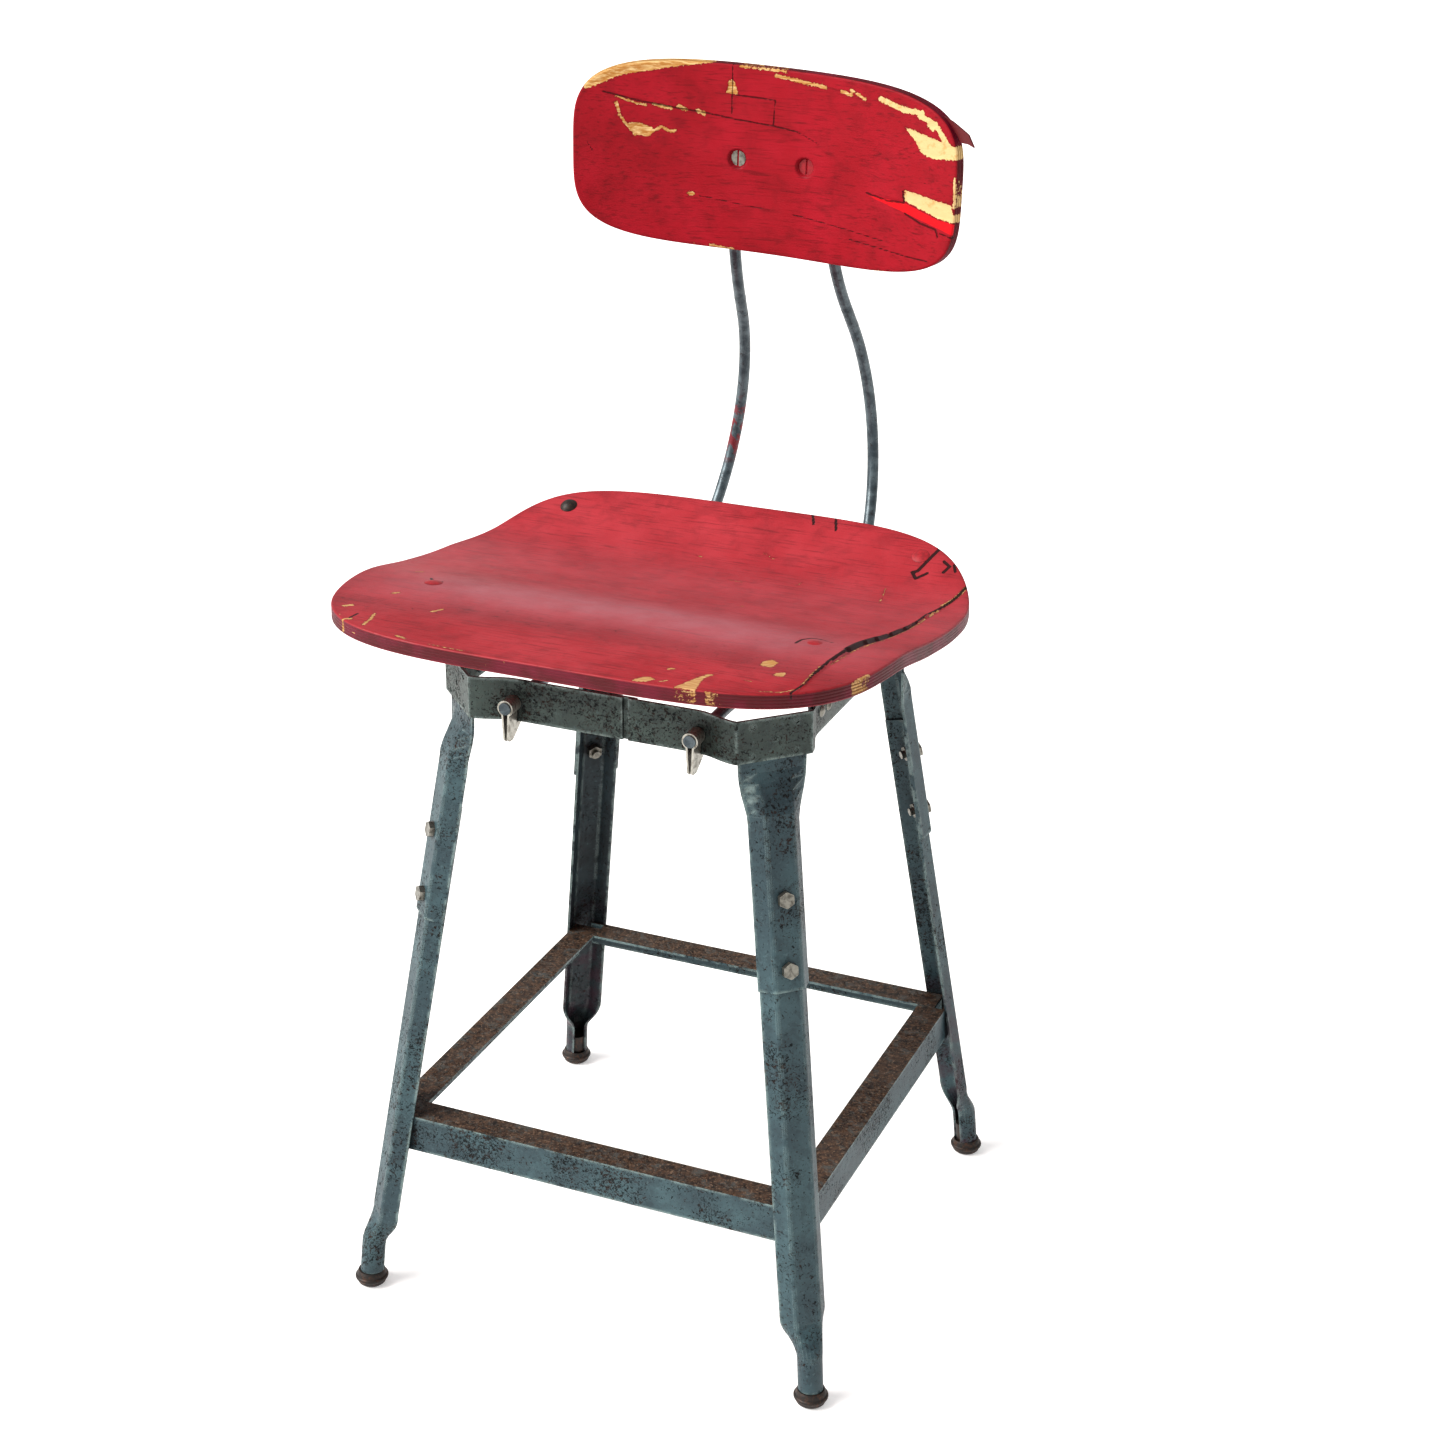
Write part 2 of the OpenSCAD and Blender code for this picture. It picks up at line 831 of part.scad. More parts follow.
// Curved saddle plate with a rolled knuckle round the cross bar
module pivot_plate() {
    color(bare_steel)
        backrest_frame() {
            difference() {
                intersection() {
                    curved_shell(back_ply + clear, back_ply + plate_t, 80);
                    translate([-plate_half, 0, plate_low])
                        cube([2 * plate_half, 40, 27]);
                }
                for (x = [-screw_x, screw_x])
                    translate([x, 0, 0])
                        rotate([90, 0, 0])
                            cylinder(r = screw_r + 0.1, h = 60, center = true);
            }
            translate([0, pivot_y, pivot_z])
                rotate([0, 90, 0])
                    difference() {
                        cylinder(r = knuckle_r, h = 2 * knuckle_half, center = true);
                        cylinder(r = knuckle_in, h = 2 * knuckle_half + 2, center = true);
                    }
            translate([-knuckle_half, back_ply + clear, 8])
                cube([2 * knuckle_half, plate_t - clear, pivot_z - 8]);
        }
}

// Slotted countersunk screws, threaded into the pivot plate
module backrest_screws() {
    color(plated)
        backrest_frame()
            for (x = [-screw_x, screw_x])
                translate([x, 0, 0])
                    rotate([-90, 0, 0])
                        difference() {
                            union() {
                                translate([0, 0, 3.2])
                                    cylinder(r1 = 6.2, r2 = screw_r, h = 3);
                                translate([0, 0, 2.2])
                                    cylinder(r = 6.2, h = 1);
                                translate([0, 0, 3.2])
                                    cylinder(r = screw_r, h = back_ply + 4.6);
                            }
                            translate([-0.8, -10, 1])
                                cube([1.6, 20, 2.4]);
                        }
}

// Hex nuts behind the pivot plate
module backrest_nuts() {
    color(plated)
        backrest_frame()
            for (x = [-screw_x, screw_x])
                translate([x, back_ply + plate_t + clear, 0])
                    rotate([-90, 0, 0])
                        difference() {
                            cylinder(r = 4.9, h = 3.6, $fn = 6);
                            translate([0, 0, -1])
                                cylinder(r = screw_r + 0.05, h = 6);
                        }
}

apron_band();
upper_leg(FRONT_LEFT);  // upper_leg_fl
upper_leg(FRONT_RIGHT);  // upper_leg_fr
upper_leg(BACK_LEFT);  // upper_leg_bl
upper_leg(BACK_RIGHT);  // upper_leg_br
lower_leg(FRONT_LEFT);  // lower_leg_fl
lower_leg(FRONT_RIGHT);  // lower_leg_fr
lower_leg(BACK_LEFT);  // lower_leg_bl
lower_leg(BACK_RIGHT);  // lower_leg_br
glide(FRONT_LEFT);  // glide_fl
glide(FRONT_RIGHT);  // glide_fr
glide(BACK_LEFT);  // glide_bl
glide(BACK_RIGHT);  // glide_br
stretcher(0);  // stretcher_front
stretcher(90);  // stretcher_right
stretcher(180, back_stretcher_h);  // stretcher_back
stretcher(270);  // stretcher_left
leg_bolts();
leg_nuts();
seat_bracket(-1, -1);  // seat_bracket_fl
seat_bracket(1, -1);  // seat_bracket_fr
seat_bracket(-1, 1);  // seat_bracket_bl
seat_bracket(1, 1);  // seat_bracket_br
bracket_bolts();
seat_panel();
seat_bolts();
seat_nuts();
clip(-1);  // clip_left
clip(1);  // clip_right
rod_frame();
backrest_panel();
pivot_plate();
backrest_screws();
backrest_nuts();
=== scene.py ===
"""Looks of a worn workshop drafting chair: chipped enamel frame, flaking painted plywood."""

import json
import logging
import math
from dataclasses import dataclass, field
from enum import Enum
from typing import Any, Sequence

import bpy
import numpy as np
from mathutils import Matrix, Vector


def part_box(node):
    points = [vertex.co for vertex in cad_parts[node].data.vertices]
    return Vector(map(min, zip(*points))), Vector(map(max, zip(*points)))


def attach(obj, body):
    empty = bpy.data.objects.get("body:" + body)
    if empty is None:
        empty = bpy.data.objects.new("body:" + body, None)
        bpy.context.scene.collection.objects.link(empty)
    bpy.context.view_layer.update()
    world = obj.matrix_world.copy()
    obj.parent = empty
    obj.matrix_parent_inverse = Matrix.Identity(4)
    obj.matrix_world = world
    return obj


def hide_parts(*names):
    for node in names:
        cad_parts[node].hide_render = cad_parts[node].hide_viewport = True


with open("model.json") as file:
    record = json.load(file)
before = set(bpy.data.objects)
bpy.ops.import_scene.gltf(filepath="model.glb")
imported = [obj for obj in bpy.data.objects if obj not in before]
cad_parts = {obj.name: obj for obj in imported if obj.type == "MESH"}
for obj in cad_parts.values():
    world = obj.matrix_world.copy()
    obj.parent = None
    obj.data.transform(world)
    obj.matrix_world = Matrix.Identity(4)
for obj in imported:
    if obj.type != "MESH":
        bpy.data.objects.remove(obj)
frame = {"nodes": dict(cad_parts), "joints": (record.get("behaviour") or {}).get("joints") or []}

LOG = logging.getLogger("drafting_chair")
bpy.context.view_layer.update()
MM = 0.001
Point = tuple[float, float]


def linear(code: str) -> tuple[float, float, float, float]:
    """Turn an sRGB hex colour into the linear RGBA that shaders take.

    Args:
        code: colour as "#RRGGBB".

    Returns:
        Linear red, green, blue and an alpha of 1.
    """
    parts = [int(code[i : i + 2], 16) / 255 for i in (1, 3, 5)]
    out = [c / 12.92 if c <= 0.04045 else ((c + 0.055) / 1.055) ** 2.4 for c in parts]
    return (out[0], out[1], out[2], 1.0)


def per_mm(size: float) -> float:
    """Noise scale that gives features of a real size.

    Args:
        size: size of a feature in millimetres.

    Returns:
        The texture scale for coordinates in metres.
    """
    return 1.0 / (size * MM)


class Axis(Enum):
    """Direction along which a pattern is drawn out."""

    NONE = (1.0, 1.0, 1.0)
    ACROSS = (0.06, 1.0, 1.0)


class Graph:
    """One material's shader graph, with short calls for the nodes it needs."""

    def __init__(self, name: str) -> None:
        """Start an empty material.

        Args:
            name: the material's name.
        """
        self.material = bpy.data.materials.new(name)
        self.material.use_nodes = True
        self.tree = self.material.node_tree
        self.tree.nodes.clear()
        self.place = self.add("ShaderNodeTexCoord").outputs["Object"]

    def add(
        self,
        kind: str,
        links: dict[Any, Any] | None = None,
        **settings: Any,
    ) -> bpy.types.Node:
        """Add a node, set its options and fill its sockets.

        Args:
            kind: the node's type name.
            links: socket name or number to a constant or to another node's output.
            settings: attributes of the node.

        Returns:
            The new node.
        """
        node = self.tree.nodes.new(kind)
        for key, value in settings.items():
            setattr(node, key, value)
        for key, value in (links or {}).items():
            if isinstance(value, bpy.types.NodeSocket):
                self.tree.links.new(value, node.inputs[key])
            else:
                node.inputs[key].default_value = value
        return node

    def math(self, operation: str, a: Any, b: Any = 0.0, clamp: bool = False) -> Any:
        """Combine two numbers.

        Args:
            operation: the math node's operation.
            a: first number or socket.
            b: second number or socket.
            clamp: whether to keep the answer between 0 and 1.

        Returns:
            The answer's socket.
        """
        node = self.add("ShaderNodeMath", {0: a, 1: b}, operation=operation, use_clamp=clamp)
        return node.outputs[0]

    def step(self, value: Any, low: float, high: float) -> Any:
        """Smooth ramp from 0 at low to 1 at high; low may be the larger.

        Args:
            value: the socket to ramp.
            low: value that gives 0.
            high: value that gives 1.

        Returns:
            The ramp's socket.
        """
        if low > high:
            return self.math("SUBTRACT", 1.0, self.step(value, high, low))
        node = self.add(
            "ShaderNodeMapRange",
            {"Value": value, "From Min": low, "From Max": high},
            interpolation_type="SMOOTHSTEP",
        )
        return node.outputs["Result"]

    def mix(self, amount: Any, a: Any, b: Any) -> Any:
        """Blend two colours.

        Args:
            amount: share of the second colour.
            a: first colour, as a hex code or socket.
            b: second colour, as a hex code or socket.

        Returns:
            The blended colour's socket.
        """
        first = linear(a) if isinstance(a, str) else a
        second = linear(b) if isinstance(b, str) else b
        node = self.add("ShaderNodeMix", {0: amount, 6: first, 7: second}, data_type="RGBA")
        return node.outputs[2]

    def tint(self, colour: Any, amount: Any, strength: float, other: Any) -> Any:
        """Lay a second colour over the first where a pattern is high.

        Args:
            colour: the colour so far.
            amount: the pattern's socket.
            strength: share of the second colour where the pattern is 1.
            other: second colour, as a hex code or socket.

        Returns:
            The new colour's socket.
        """
        return self.mix(self.math("MULTIPLY", amount, strength), colour, other)

    def patches(self, low: float, high: float, *size: Any, **more: Any) -> Any:
        """Cloudy pattern with soft-edged patches cut out of it.

        Args:
            low: noise that gives 0.
            high: noise that gives 1.
            size: what noise takes, in its order.
            more: what noise takes by name.

        Returns:
            The pattern's socket.
        """
        return self.step(self.noise(*size, **more), low, high)

    def noise(
        self,
        size: float,
        detail: float = 4.0,
        rough: float = 0.55,
        warp: float = 0.0,
        along: Axis = Axis.NONE,
        shift: float = 0.0,
    ) -> Any:
        """Cloudy pattern with features of a real size.

        Args:
            size: feature size in millimetres.
            detail: number of finer layers.
            rough: strength of the finer layers.
            warp: how far the pattern is bent by itself.
            along: direction in which features are drawn out.
            shift: moves the pattern, so that two don't coincide.

        Returns:
            The pattern's socket, about 0.5 on average.
        """
        moved = self.add(
            "ShaderNodeMapping",
            {"Vector": self.place, "Location": (shift, shift, shift), "Scale": along.value},
        )
        node = self.add(
            "ShaderNodeTexNoise",
            {
                "Vector": moved.outputs[0],
                "Scale": per_mm(size),
                "Detail": detail,
                "Roughness": rough,
                "Distortion": warp,
            },
        )
        return node.outputs["Fac"]

    def field(self, name: str) -> Any:
        """A number stored on the mesh's points.

        Args:
            name: the attribute's name.

        Returns:
            Its socket.
        """
        return self.add("ShaderNodeAttribute", attribute_name=name).outputs["Fac"]

    def facing(self) -> tuple[Any, Any, Any]:
        """The object-space normal.

        Returns:
            The sockets of its X, Y and Z parts.
        """
        normal = self.add("ShaderNodeTexCoord").outputs["Normal"]
        parts = self.add("ShaderNodeSeparateXYZ", {0: normal})
        return parts.outputs[0], parts.outputs[1], parts.outputs[2]

    def position(self) -> tuple[Any, Any, Any]:
        """The point in the chair's frame, in metres.

        Returns:
            The sockets of its X, Y and Z parts.
        """
        parts = self.add("ShaderNodeSeparateXYZ", {0: self.place})
        return parts.outputs[0], parts.outputs[1], parts.outputs[2]

    def edges(self, radius: float, samples: int = 4) -> Any:
        """How sharply the surface turns within a short distance.

        Args:
            radius: the distance in millimetres.
            samples: rays cast for each look.

        Returns:
            A socket that is 0 on flats and grows at edges.
        """
        bevel = self.add("ShaderNodeBevel", {"Radius": radius * MM}, samples=samples)
        flat = self.add("ShaderNodeNewGeometry").outputs["Normal"]
        dot = self.add("ShaderNodeVectorMath", {0: bevel.outputs[0], 1: flat}, operation="DOT_PRODUCT")
        return self.math("SUBTRACT", 1.0, dot.outputs["Value"])

    def bump(self, height: Any, depth: float, strength: float = 1.0, under: Any = None) -> Any:
        """Relief of a real depth.

        Args:
            height: the pattern, 0 to 1.
            depth: its depth in millimetres.
            strength: share of the effect.
            under: normal socket of a relief below this one.

        Returns:
            The normal's socket.
        """
        links = {"Height": height, "Distance": depth * MM, "Strength": strength}
        if under is not None:
            links["Normal"] = under
        return self.add("ShaderNodeBump", links).outputs["Normal"]

    def crevice(self, reach: float) -> Any:
        """How shut in the surface is.

        Args:
            reach: the distance looked at in millimetres.

        Returns:
            A socket that is 0 in the open and 1 deep in a corner.
        """
        node = self.add("ShaderNodeAmbientOcclusion", {"Distance": reach * MM}, samples=4)
        return self.math("SUBTRACT", 1.0, node.outputs["AO"])

    def finish(
        self, colour: Any, rough: Any, metal: Any, normal: Any, ior: float | None = None, gloss: float = 0.5
    ) -> bpy.types.Material:
        """Close the graph with one principled surface.

        Args:
            colour: base colour socket.
            rough: roughness value or socket.
            metal: metallic value or socket.
            normal: normal socket.
            ior: index of refraction, left alone for metals.
            gloss: strength of the reflection, less than 0.5 where paint is chalky.

        Returns:
            The finished material.
        """
        links = {"Base Color": colour, "Roughness": rough, "Metallic": metal, "Normal": normal}
        links["Specular IOR Level"] = gloss
        if ior is not None:
            links["IOR"] = ior
        surface = self.add("ShaderNodeBsdfPrincipled", links)
        self.add("ShaderNodeOutputMaterial", {"Surface": surface.outputs[0]})
        return self.material


@dataclass(frozen=True)
class Enamel:
    """Grey-green stove enamel on pressed steel, speckled with chips down to dark steel and rust."""

    name: str = "chipped_stove_enamel"
    base: str = "#32444A"
    light: str = "#3F555A"
    deep: str = "#222E33"
    steel: str = "#0E1112"
    rust: str = "#2E1B13"
    wear_and_highlight: str = "#9DB0AC"
    pale: str = "#6C8488"
    grime_and_shade: str = "#12100E"
    rusty_tops: bool = False
    red_bloom: bool = False

    def build(self) -> bpy.types.Material:
        """Build the enamel's shader.

        Returns:
            The material.
        """
        # Baked enamel: a satin grey-green skin, black and brown where chips reach the steel
        g = Graph(self.name)
        broad = g.noise(38, 3, 0.5)
        colour = g.mix(g.step(broad, 0.35, 0.68), self.base, self.light)
        cloud = g.patches(0.44, 0.66, 9, 5, 0.65, 0.5, shift=0.31)
        colour = g.tint(colour, cloud, 0.4, self.deep)
        pale = g.patches(0.56, 0.72, 3.4, 5, 0.7, 0.3, shift=0.77)
        colour = g.tint(colour, pale, 0.22, self.pale)
        where = g.patches(0.36, 0.66, 46, 2, 0.5, shift=1.3)
        fine = g.noise(2.4, 6, 0.72, 0.9, shift=2.1)
        edge = g.step(g.edges(4.0), 0.008, 0.07)
        need = g.math("SUBTRACT", 0.605, g.math("MULTIPLY", where, 0.09))
        need = g.math("SUBTRACT", need, g.math("MULTIPLY", edge, 0.03))
        chip = g.step(g.math("SUBTRACT", fine, need), 0.0, 0.02)
        rusty = g.patches(0.47, 0.6, 7, 4, 0.6, shift=3.7)
        bare = g.mix(rusty, self.steel, self.rust)
        colour = g.tint(colour, chip, 0.9, bare)
        # Pale rub along edges and folds: wear, and a painted highlight on the folds
        rub_and_highlight = g.math("MULTIPLY", edge, g.patches(0.36, 0.56, 11, 4, 0.6, shift=5.1))
        colour = g.tint(colour, rub_and_highlight, 0.55, self.wear_and_highlight)
        specks = g.patches(0.59, 0.63, 1.7, 3, 0.6, 0.3, shift=8.3)
        colour = g.mix(g.math("MULTIPLY", specks, g.math("MULTIPLY", where, 0.9)), colour, self.steel)
        # Painted shade: the colour darkens in crevices found by ambient occlusion, with a little cloudy
        # grime mixed in
        grime_and_shade = g.step(g.math("ADD", g.crevice(16), g.math("MULTIPLY", cloud, 0.12)), 0.3, 0.8)
        colour = g.tint(colour, grime_and_shade, 0.85, self.grime_and_shade)
        rough = g.math("ADD", 0.42, g.math("MULTIPLY", chip, 0.3))
        if self.rusty_tops:
            colour, rough = self.add_tops(g, colour, rough)
        if self.red_bloom:
            colour = self.add_bloom(g, colour)
        relief = g.math("SUBTRACT", 1.0, chip)
        normal = g.bump(relief, 0.18, 0.8)
        normal = g.bump(g.noise(1.6, 3, 0.6, shift=4.2), 0.06, 0.5, normal)
        metal = g.math("MULTIPLY", chip, 0.35)
        return g.finish(colour, rough, metal, normal, 1.5, 0.34)

    def add_tops(self, g: Graph, colour: Any, rough: Any) -> tuple[Any, Any]:
        """Brown rust where shoes have rubbed the upward faces.

        Args:
            g: the material's graph.
            colour: colour so far.
            rough: roughness so far.

        Returns:
            The new colour and roughness.
        """
        up = g.step(g.facing()[2], 0.7, 0.9)
        left = g.patches(0.2, 0.4, 24, 5, 0.6, 0.6, shift=6.0)
        brown = g.mix(g.patches(0.3, 0.7, 6, 5, 0.7, 0.4, shift=7.0), "#17110F", "#57402F")
        brown = g.mix(g.patches(0.5, 0.64, 11, 5, 0.7, 0.6, shift=7.4), brown, "#4C4A46")
        brown = g.mix(g.patches(0.54, 0.66, 2.2, 4, 0.7, shift=7.7), brown, "#7A6350")
        cover = g.math("MULTIPLY", up, g.math("MULTIPLY", left, 0.92))
        return g.mix(cover, colour, brown), g.math("ADD", rough, g.math("MULTIPLY", cover, 0.2))

    def add_bloom(self, g: Graph, colour: Any) -> Any:
        """Faint purple-red overspray inside the rear legs.

        Args:
            g: the material's graph.
            colour: colour so far.

        Returns:
            The new colour.
        """
        low = g.step(g.position()[2], 0.23, 0.12)
        spray = g.math("MULTIPLY", low, g.patches(0.42, 0.62, 16, 4, 0.6, shift=8.0))
        return g.tint(colour, spray, 0.55, "#3D1D2C")


@dataclass(frozen=True)
class PaintedPly:
    """Crimson brush paint on moulded plywood, chipped to bare veneer, with dark cracks, grime, a painted
    sheen and painted shade on the rim.
    """

    name: str
    thickness: float
    base: str = "#981D27"
    light: str = "#A82E37"
    deep: str = "#610A13"
    wood: str = "#A67A4C"
    pale_wood: str = "#CBA777"
    pink_of_dust_and_sheen: str = "#A8646C"
    gap_dark: str = "#1E0507"
    dirt_and_shade: str = "#3B0E14"
    gloss: float = 0.3
    crack_reach: float = 0.66
    crack_depth: float = 0.95
    pale_from: float = 9.0

    def build(self) -> bpy.types.Material:
        """Build the painted plywood's shader.

        Returns:
            The material.
        """
        # Brush paint gone chalky: streaks along the grain, tan veneer in the chips
        g = Graph(self.name)
        bare = g.field("bare")
        crack = g.field("crack")
        rim = g.field("rim")
        depth = g.field("depth")
        far = self.thickness
        # Rim faces: painted shade in dark red, with purple patches of painted highlight
        side = g.math("MULTIPLY", g.step(depth, 0.6, 1.6), g.step(depth, far - 0.4, far - 1.4))
        paint = self.paint(g)
        purple = g.patches(0.4, 0.62, 26, 3, 0.5, shift=0.9)
        shaded_rim = g.mix(g.math("MULTIPLY", purple, 0.6), "#4A0610", "#6C0E2C")
        paint = g.tint(paint, side, 0.95, shaded_rim)
        ragged = g.math("MULTIPLY", g.math("SUBTRACT", g.noise(2.4, 5, 0.72, 0.4, shift=1.7), 0.5), 5.0)
        border = g.math("ADD", bare, ragged)
        near = g.step(rim, 4.0, 0.5)
        stray = g.noise(4.6, 5, 0.65, 0.6, shift=2.9)
        gate = g.patches(0.5, 0.6, 34, 2, 0.5, shift=3.3)
        loose = g.math("MULTIPLY", g.step(stray, 0.665, 0.68), g.math("MULTIPLY", near, gate))
        chipped = g.math("MAXIMUM", g.step(border, 0.12, -0.12), loose)
        bark = self.veneer(g, depth)
        lip = g.math("MULTIPLY", g.step(border, 0.9, 0.1), 0.6)
        paint = g.mix(lip, paint, "#5C0A12")
        colour = g.mix(chipped, paint, bark)
        fresh = g.step(g.math("ADD", g.field("fresh"), g.math("MULTIPLY", ragged, 0.3)), 0.3, -0.3)
        colour = g.mix(g.math("MULTIPLY", fresh, g.math("SUBTRACT", 1.0, chipped)), colour, "#C81420")
        wobble = g.math("MULTIPLY", g.math("SUBTRACT", g.noise(2.6, 3, 0.6, shift=4.4), 0.5), 0.9)
        gap = g.step(g.math("ADD", crack, wobble), self.crack_reach, self.crack_reach - 0.3)
        colour = g.mix(g.math("MULTIPLY", gap, self.crack_depth), colour, self.gap_dark)
        height = g.math("SUBTRACT", 1.0, g.math("MULTIPLY", chipped, 0.45))
        height = g.math("SUBTRACT", height, gap)
        normal = g.bump(height, 0.5, 0.85)
        strokes = g.noise(1.3, 4, 0.6, 0.2, Axis.ACROSS, 5.0)
        normal = g.bump(strokes, 0.3, 0.7, normal)
        orange_peel = g.noise(0.9, 2, 0.5, shift=5.5)
        normal = g.bump(orange_peel, 0.05, 0.35, normal)
        rough = g.math("ADD", 0.43, g.math("MULTIPLY", chipped, 0.3))
        rough = g.math("ADD", rough, g.math("MULTIPLY", g.noise(14, 3, 0.6, shift=6.6), 0.14))
        return g.finish(colour, rough, 0.0, normal, 1.5, self.gloss)

    def paint(self, g: Graph) -> Any:
        """Colour of the paint film, with wear, dirt, a painted sheen and painted shade.

        Args:
            g: the material's graph.

        Returns:
            The colour's socket.
        """
        colour = g.mix(g.patches(0.3, 0.7, 52, 3, 0.5), self.base, self.light)
        cloud = g.patches(0.46, 0.7, 17, 4, 0.6, 0.4, shift=0.4)
        colour = g.tint(colour, cloud, 0.3, self.deep)
        streak = g.patches(0.5, 0.72, 1.7, 4, 0.62, 0.1, Axis.ACROSS, 0.6)
        colour = g.tint(colour, streak, 0.62, self.deep)
        scuff = g.patches(0.57, 0.68, 7, 6, 0.74, 0.9, Axis.ACROSS, 2.7)
        colour = g.tint(colour, scuff, 0.6, self.deep)
        # Pink where the dust field is high: dust, with a painted sheen on the dish of the seat
        dust_and_sheen = g.math("MULTIPLY", g.field("dust_and_sheen"), g.math("ADD", 0.45, g.noise(22, 4, 0.6, shift=0.8)))
        colour = g.mix(g.math("MULTIPLY", dust_and_sheen, 0.75, True), colour, self.pink_of_dust_and_sheen)
        rubbed = g.patches(0.58, 0.74, 5.2, 6, 0.7, 0.5, shift=1.1)
        # Dark red where the grime field is high: grime, a darker strip along the rim and painted shade
        # round the screw recesses
        grime_and_shade = g.math("MULTIPLY", g.field("grime_and_shade"), g.math("ADD", 0.35, rubbed))
        colour = g.mix(g.math("MULTIPLY", grime_and_shade, 0.8, True), colour, self.dirt_and_shade)
        check = g.patches(0.685, 0.705, 2.3, 5, 0.66, 0.25, Axis.ACROSS, 1.4)
        patchy = g.patches(0.42, 0.6, 30, 2, 0.5, shift=1.9)
        return g.mix(g.math("MULTIPLY", check, g.math("MULTIPLY", patchy, 0.8)), colour, "#4A070E")

    def veneer(self, g: Graph, depth: Any) -> Any:
        """Colour of bare wood: streaked grain on the face, plies on the rim.

        Args:
            g: the material's graph.
            depth: socket with the depth below the face in millimetres.

        Returns:
            The colour's socket.
        """
        grain = g.noise(1.5, 5, 0.6, 0.2, Axis.ACROSS, 2.2)
        wood = g.mix(g.step(grain, 0.3, 0.62), self.pale_wood, self.wood)
        far = g.step(g.position()[0], self.pale_from, self.pale_from + 0.01)
        wood = g.tint(wood, far, 0.9, self.pale_wood)
        stain = g.patches(0.54, 0.7, 8, 4, 0.6, 0.3, shift=2.6)
        wood = g.tint(wood, stain, 0.5, "#A87432")
        wave = g.math("SINE", g.math("MULTIPLY", depth, 2 * math.pi / 2.3))
        dark_ply = g.math("MULTIPLY", g.step(wave, -0.2, 0.7), g.step(depth, 0.8, 1.8))
        return g.tint(wood, dark_ply, 0.7, "#6A4522")


@dataclass(frozen=True)
class PlatedSteel:
    """Dulled zinc plate: soft grey metal with cloudy tarnish."""

    name: str = "dull_zinc_plate"
    base: str = "#B3B1A8"
    tarnish: str = "#5A554B"

    def build(self) -> bpy.types.Material:
        """Build the plated steel's shader.

        Returns:
            The material.
        """
        # Zinc plate: a soft grey shine under brown clouds
        g = Graph(self.name)
        cloud = g.patches(0.4, 0.7, 5, 5, 0.65, 0.5)
        colour = g.mix(g.math("MULTIPLY", cloud, 0.7), self.base, self.tarnish)
        # Pale edges: a painted highlight along every rim of the plate
        edge = g.step(g.edges(0.5), 0.02, 0.2)
        colour = g.tint(colour, edge, 0.5, "#D9D6CA")
        normal = g.bump(g.noise(1.2, 4, 0.6, shift=1.0), 0.06, 0.5)
        rough = g.math("ADD", 0.3, g.math("MULTIPLY", cloud, 0.3))
        return g.finish(colour, rough, 0.85, normal)


@dataclass(frozen=True)
class RodSteel:
    """Thin worn coat on drawn round steel: blue-grey, with brown bloom and a smear of red."""

    name: str = "worn_drawn_steel"
    base: str = "#39444A"
    light: str = "#5C686D"
    brown: str = "#2A1D1A"

    def build(self) -> bpy.types.Material:
        """Build the rod's shader.

        Returns:
            The material.
        """
        # Thin coat on drawn steel: a blue-grey sheen broken by brown spots
        g = Graph(self.name)
        colour = g.mix(g.patches(0.35, 0.66, 9, 5, 0.6, 0.4), self.base, self.light)
        spots = g.patches(0.56, 0.66, 3.2, 5, 0.7, 0.6, shift=1.0)
        colour = g.tint(colour, spots, 0.75, self.brown)
        x, _, z = g.position()
        band = g.math("MULTIPLY", g.step(z, 0.585, 0.6), g.step(z, 0.65, 0.625))
        left = g.math("MULTIPLY", band, g.step(x, -0.045, -0.05))
        smear = g.math("MULTIPLY", left, g.patches(0.46, 0.56, 8, 4, 0.6, 0.3, shift=2.0))
        colour = g.tint(colour, smear, 0.85, "#7A1420")
        normal = g.bump(g.noise(1.4, 4, 0.6, shift=3.0), 0.08, 0.5)
        rough = g.math("ADD", 0.33, g.math("MULTIPLY", spots, 0.3))
        return g.finish(colour, rough, 0.3, normal)


@dataclass(frozen=True)
class DarkSteel:
    """Blackened steel with brown rust in its hollows, for the glides and the bare bolt head."""

    name: str = "blackened_rusty_steel"
    base: str = "#2A2624"
    rust: str = "#54392A"

    def build(self) -> bpy.types.Material:
        """Build the dark steel's shader.

        Returns:
            The material.
        """
        # Blackened steel: hardly any shine, brown in its hollows
        g = Graph(self.name)
        patch = g.patches(0.45, 0.65, 3.5, 5, 0.7, 0.5)
        colour = g.mix(g.math("MULTIPLY", patch, 0.6), self.base, self.rust)
        normal = g.bump(g.noise(1.1, 4, 0.65, shift=1.0), 0.15, 0.7)
        return g.finish(colour, 0.5, 0.4, normal)


@dataclass(frozen=True)
class ColouredPaint:
    """One flat brush paint over metal, dented and dirty at its edge."""

    name: str
    base: str
    dirt_and_shade: str = "#4C0A12"

    def build(self) -> bpy.types.Material:
        """Build the paint's shader.

        Returns:
            The material.
        """
        # Brush paint over metal: one red, darker along its edge
        g = Graph(self.name)
        cloud = g.patches(0.4, 0.7, 3, 4, 0.6)
        colour = g.mix(g.math("MULTIPLY", cloud, 0.4), self.base, self.dirt_and_shade)
        edge = g.step(g.edges(0.6), 0.02, 0.2)
        colour = g.tint(colour, edge, 0.4, self.dirt_and_shade)
        normal = g.bump(g.noise(1.4, 3, 0.6, shift=1.0), 0.12, 0.6)
        return g.finish(colour, 0.5, 0.0, normal, 1.5)


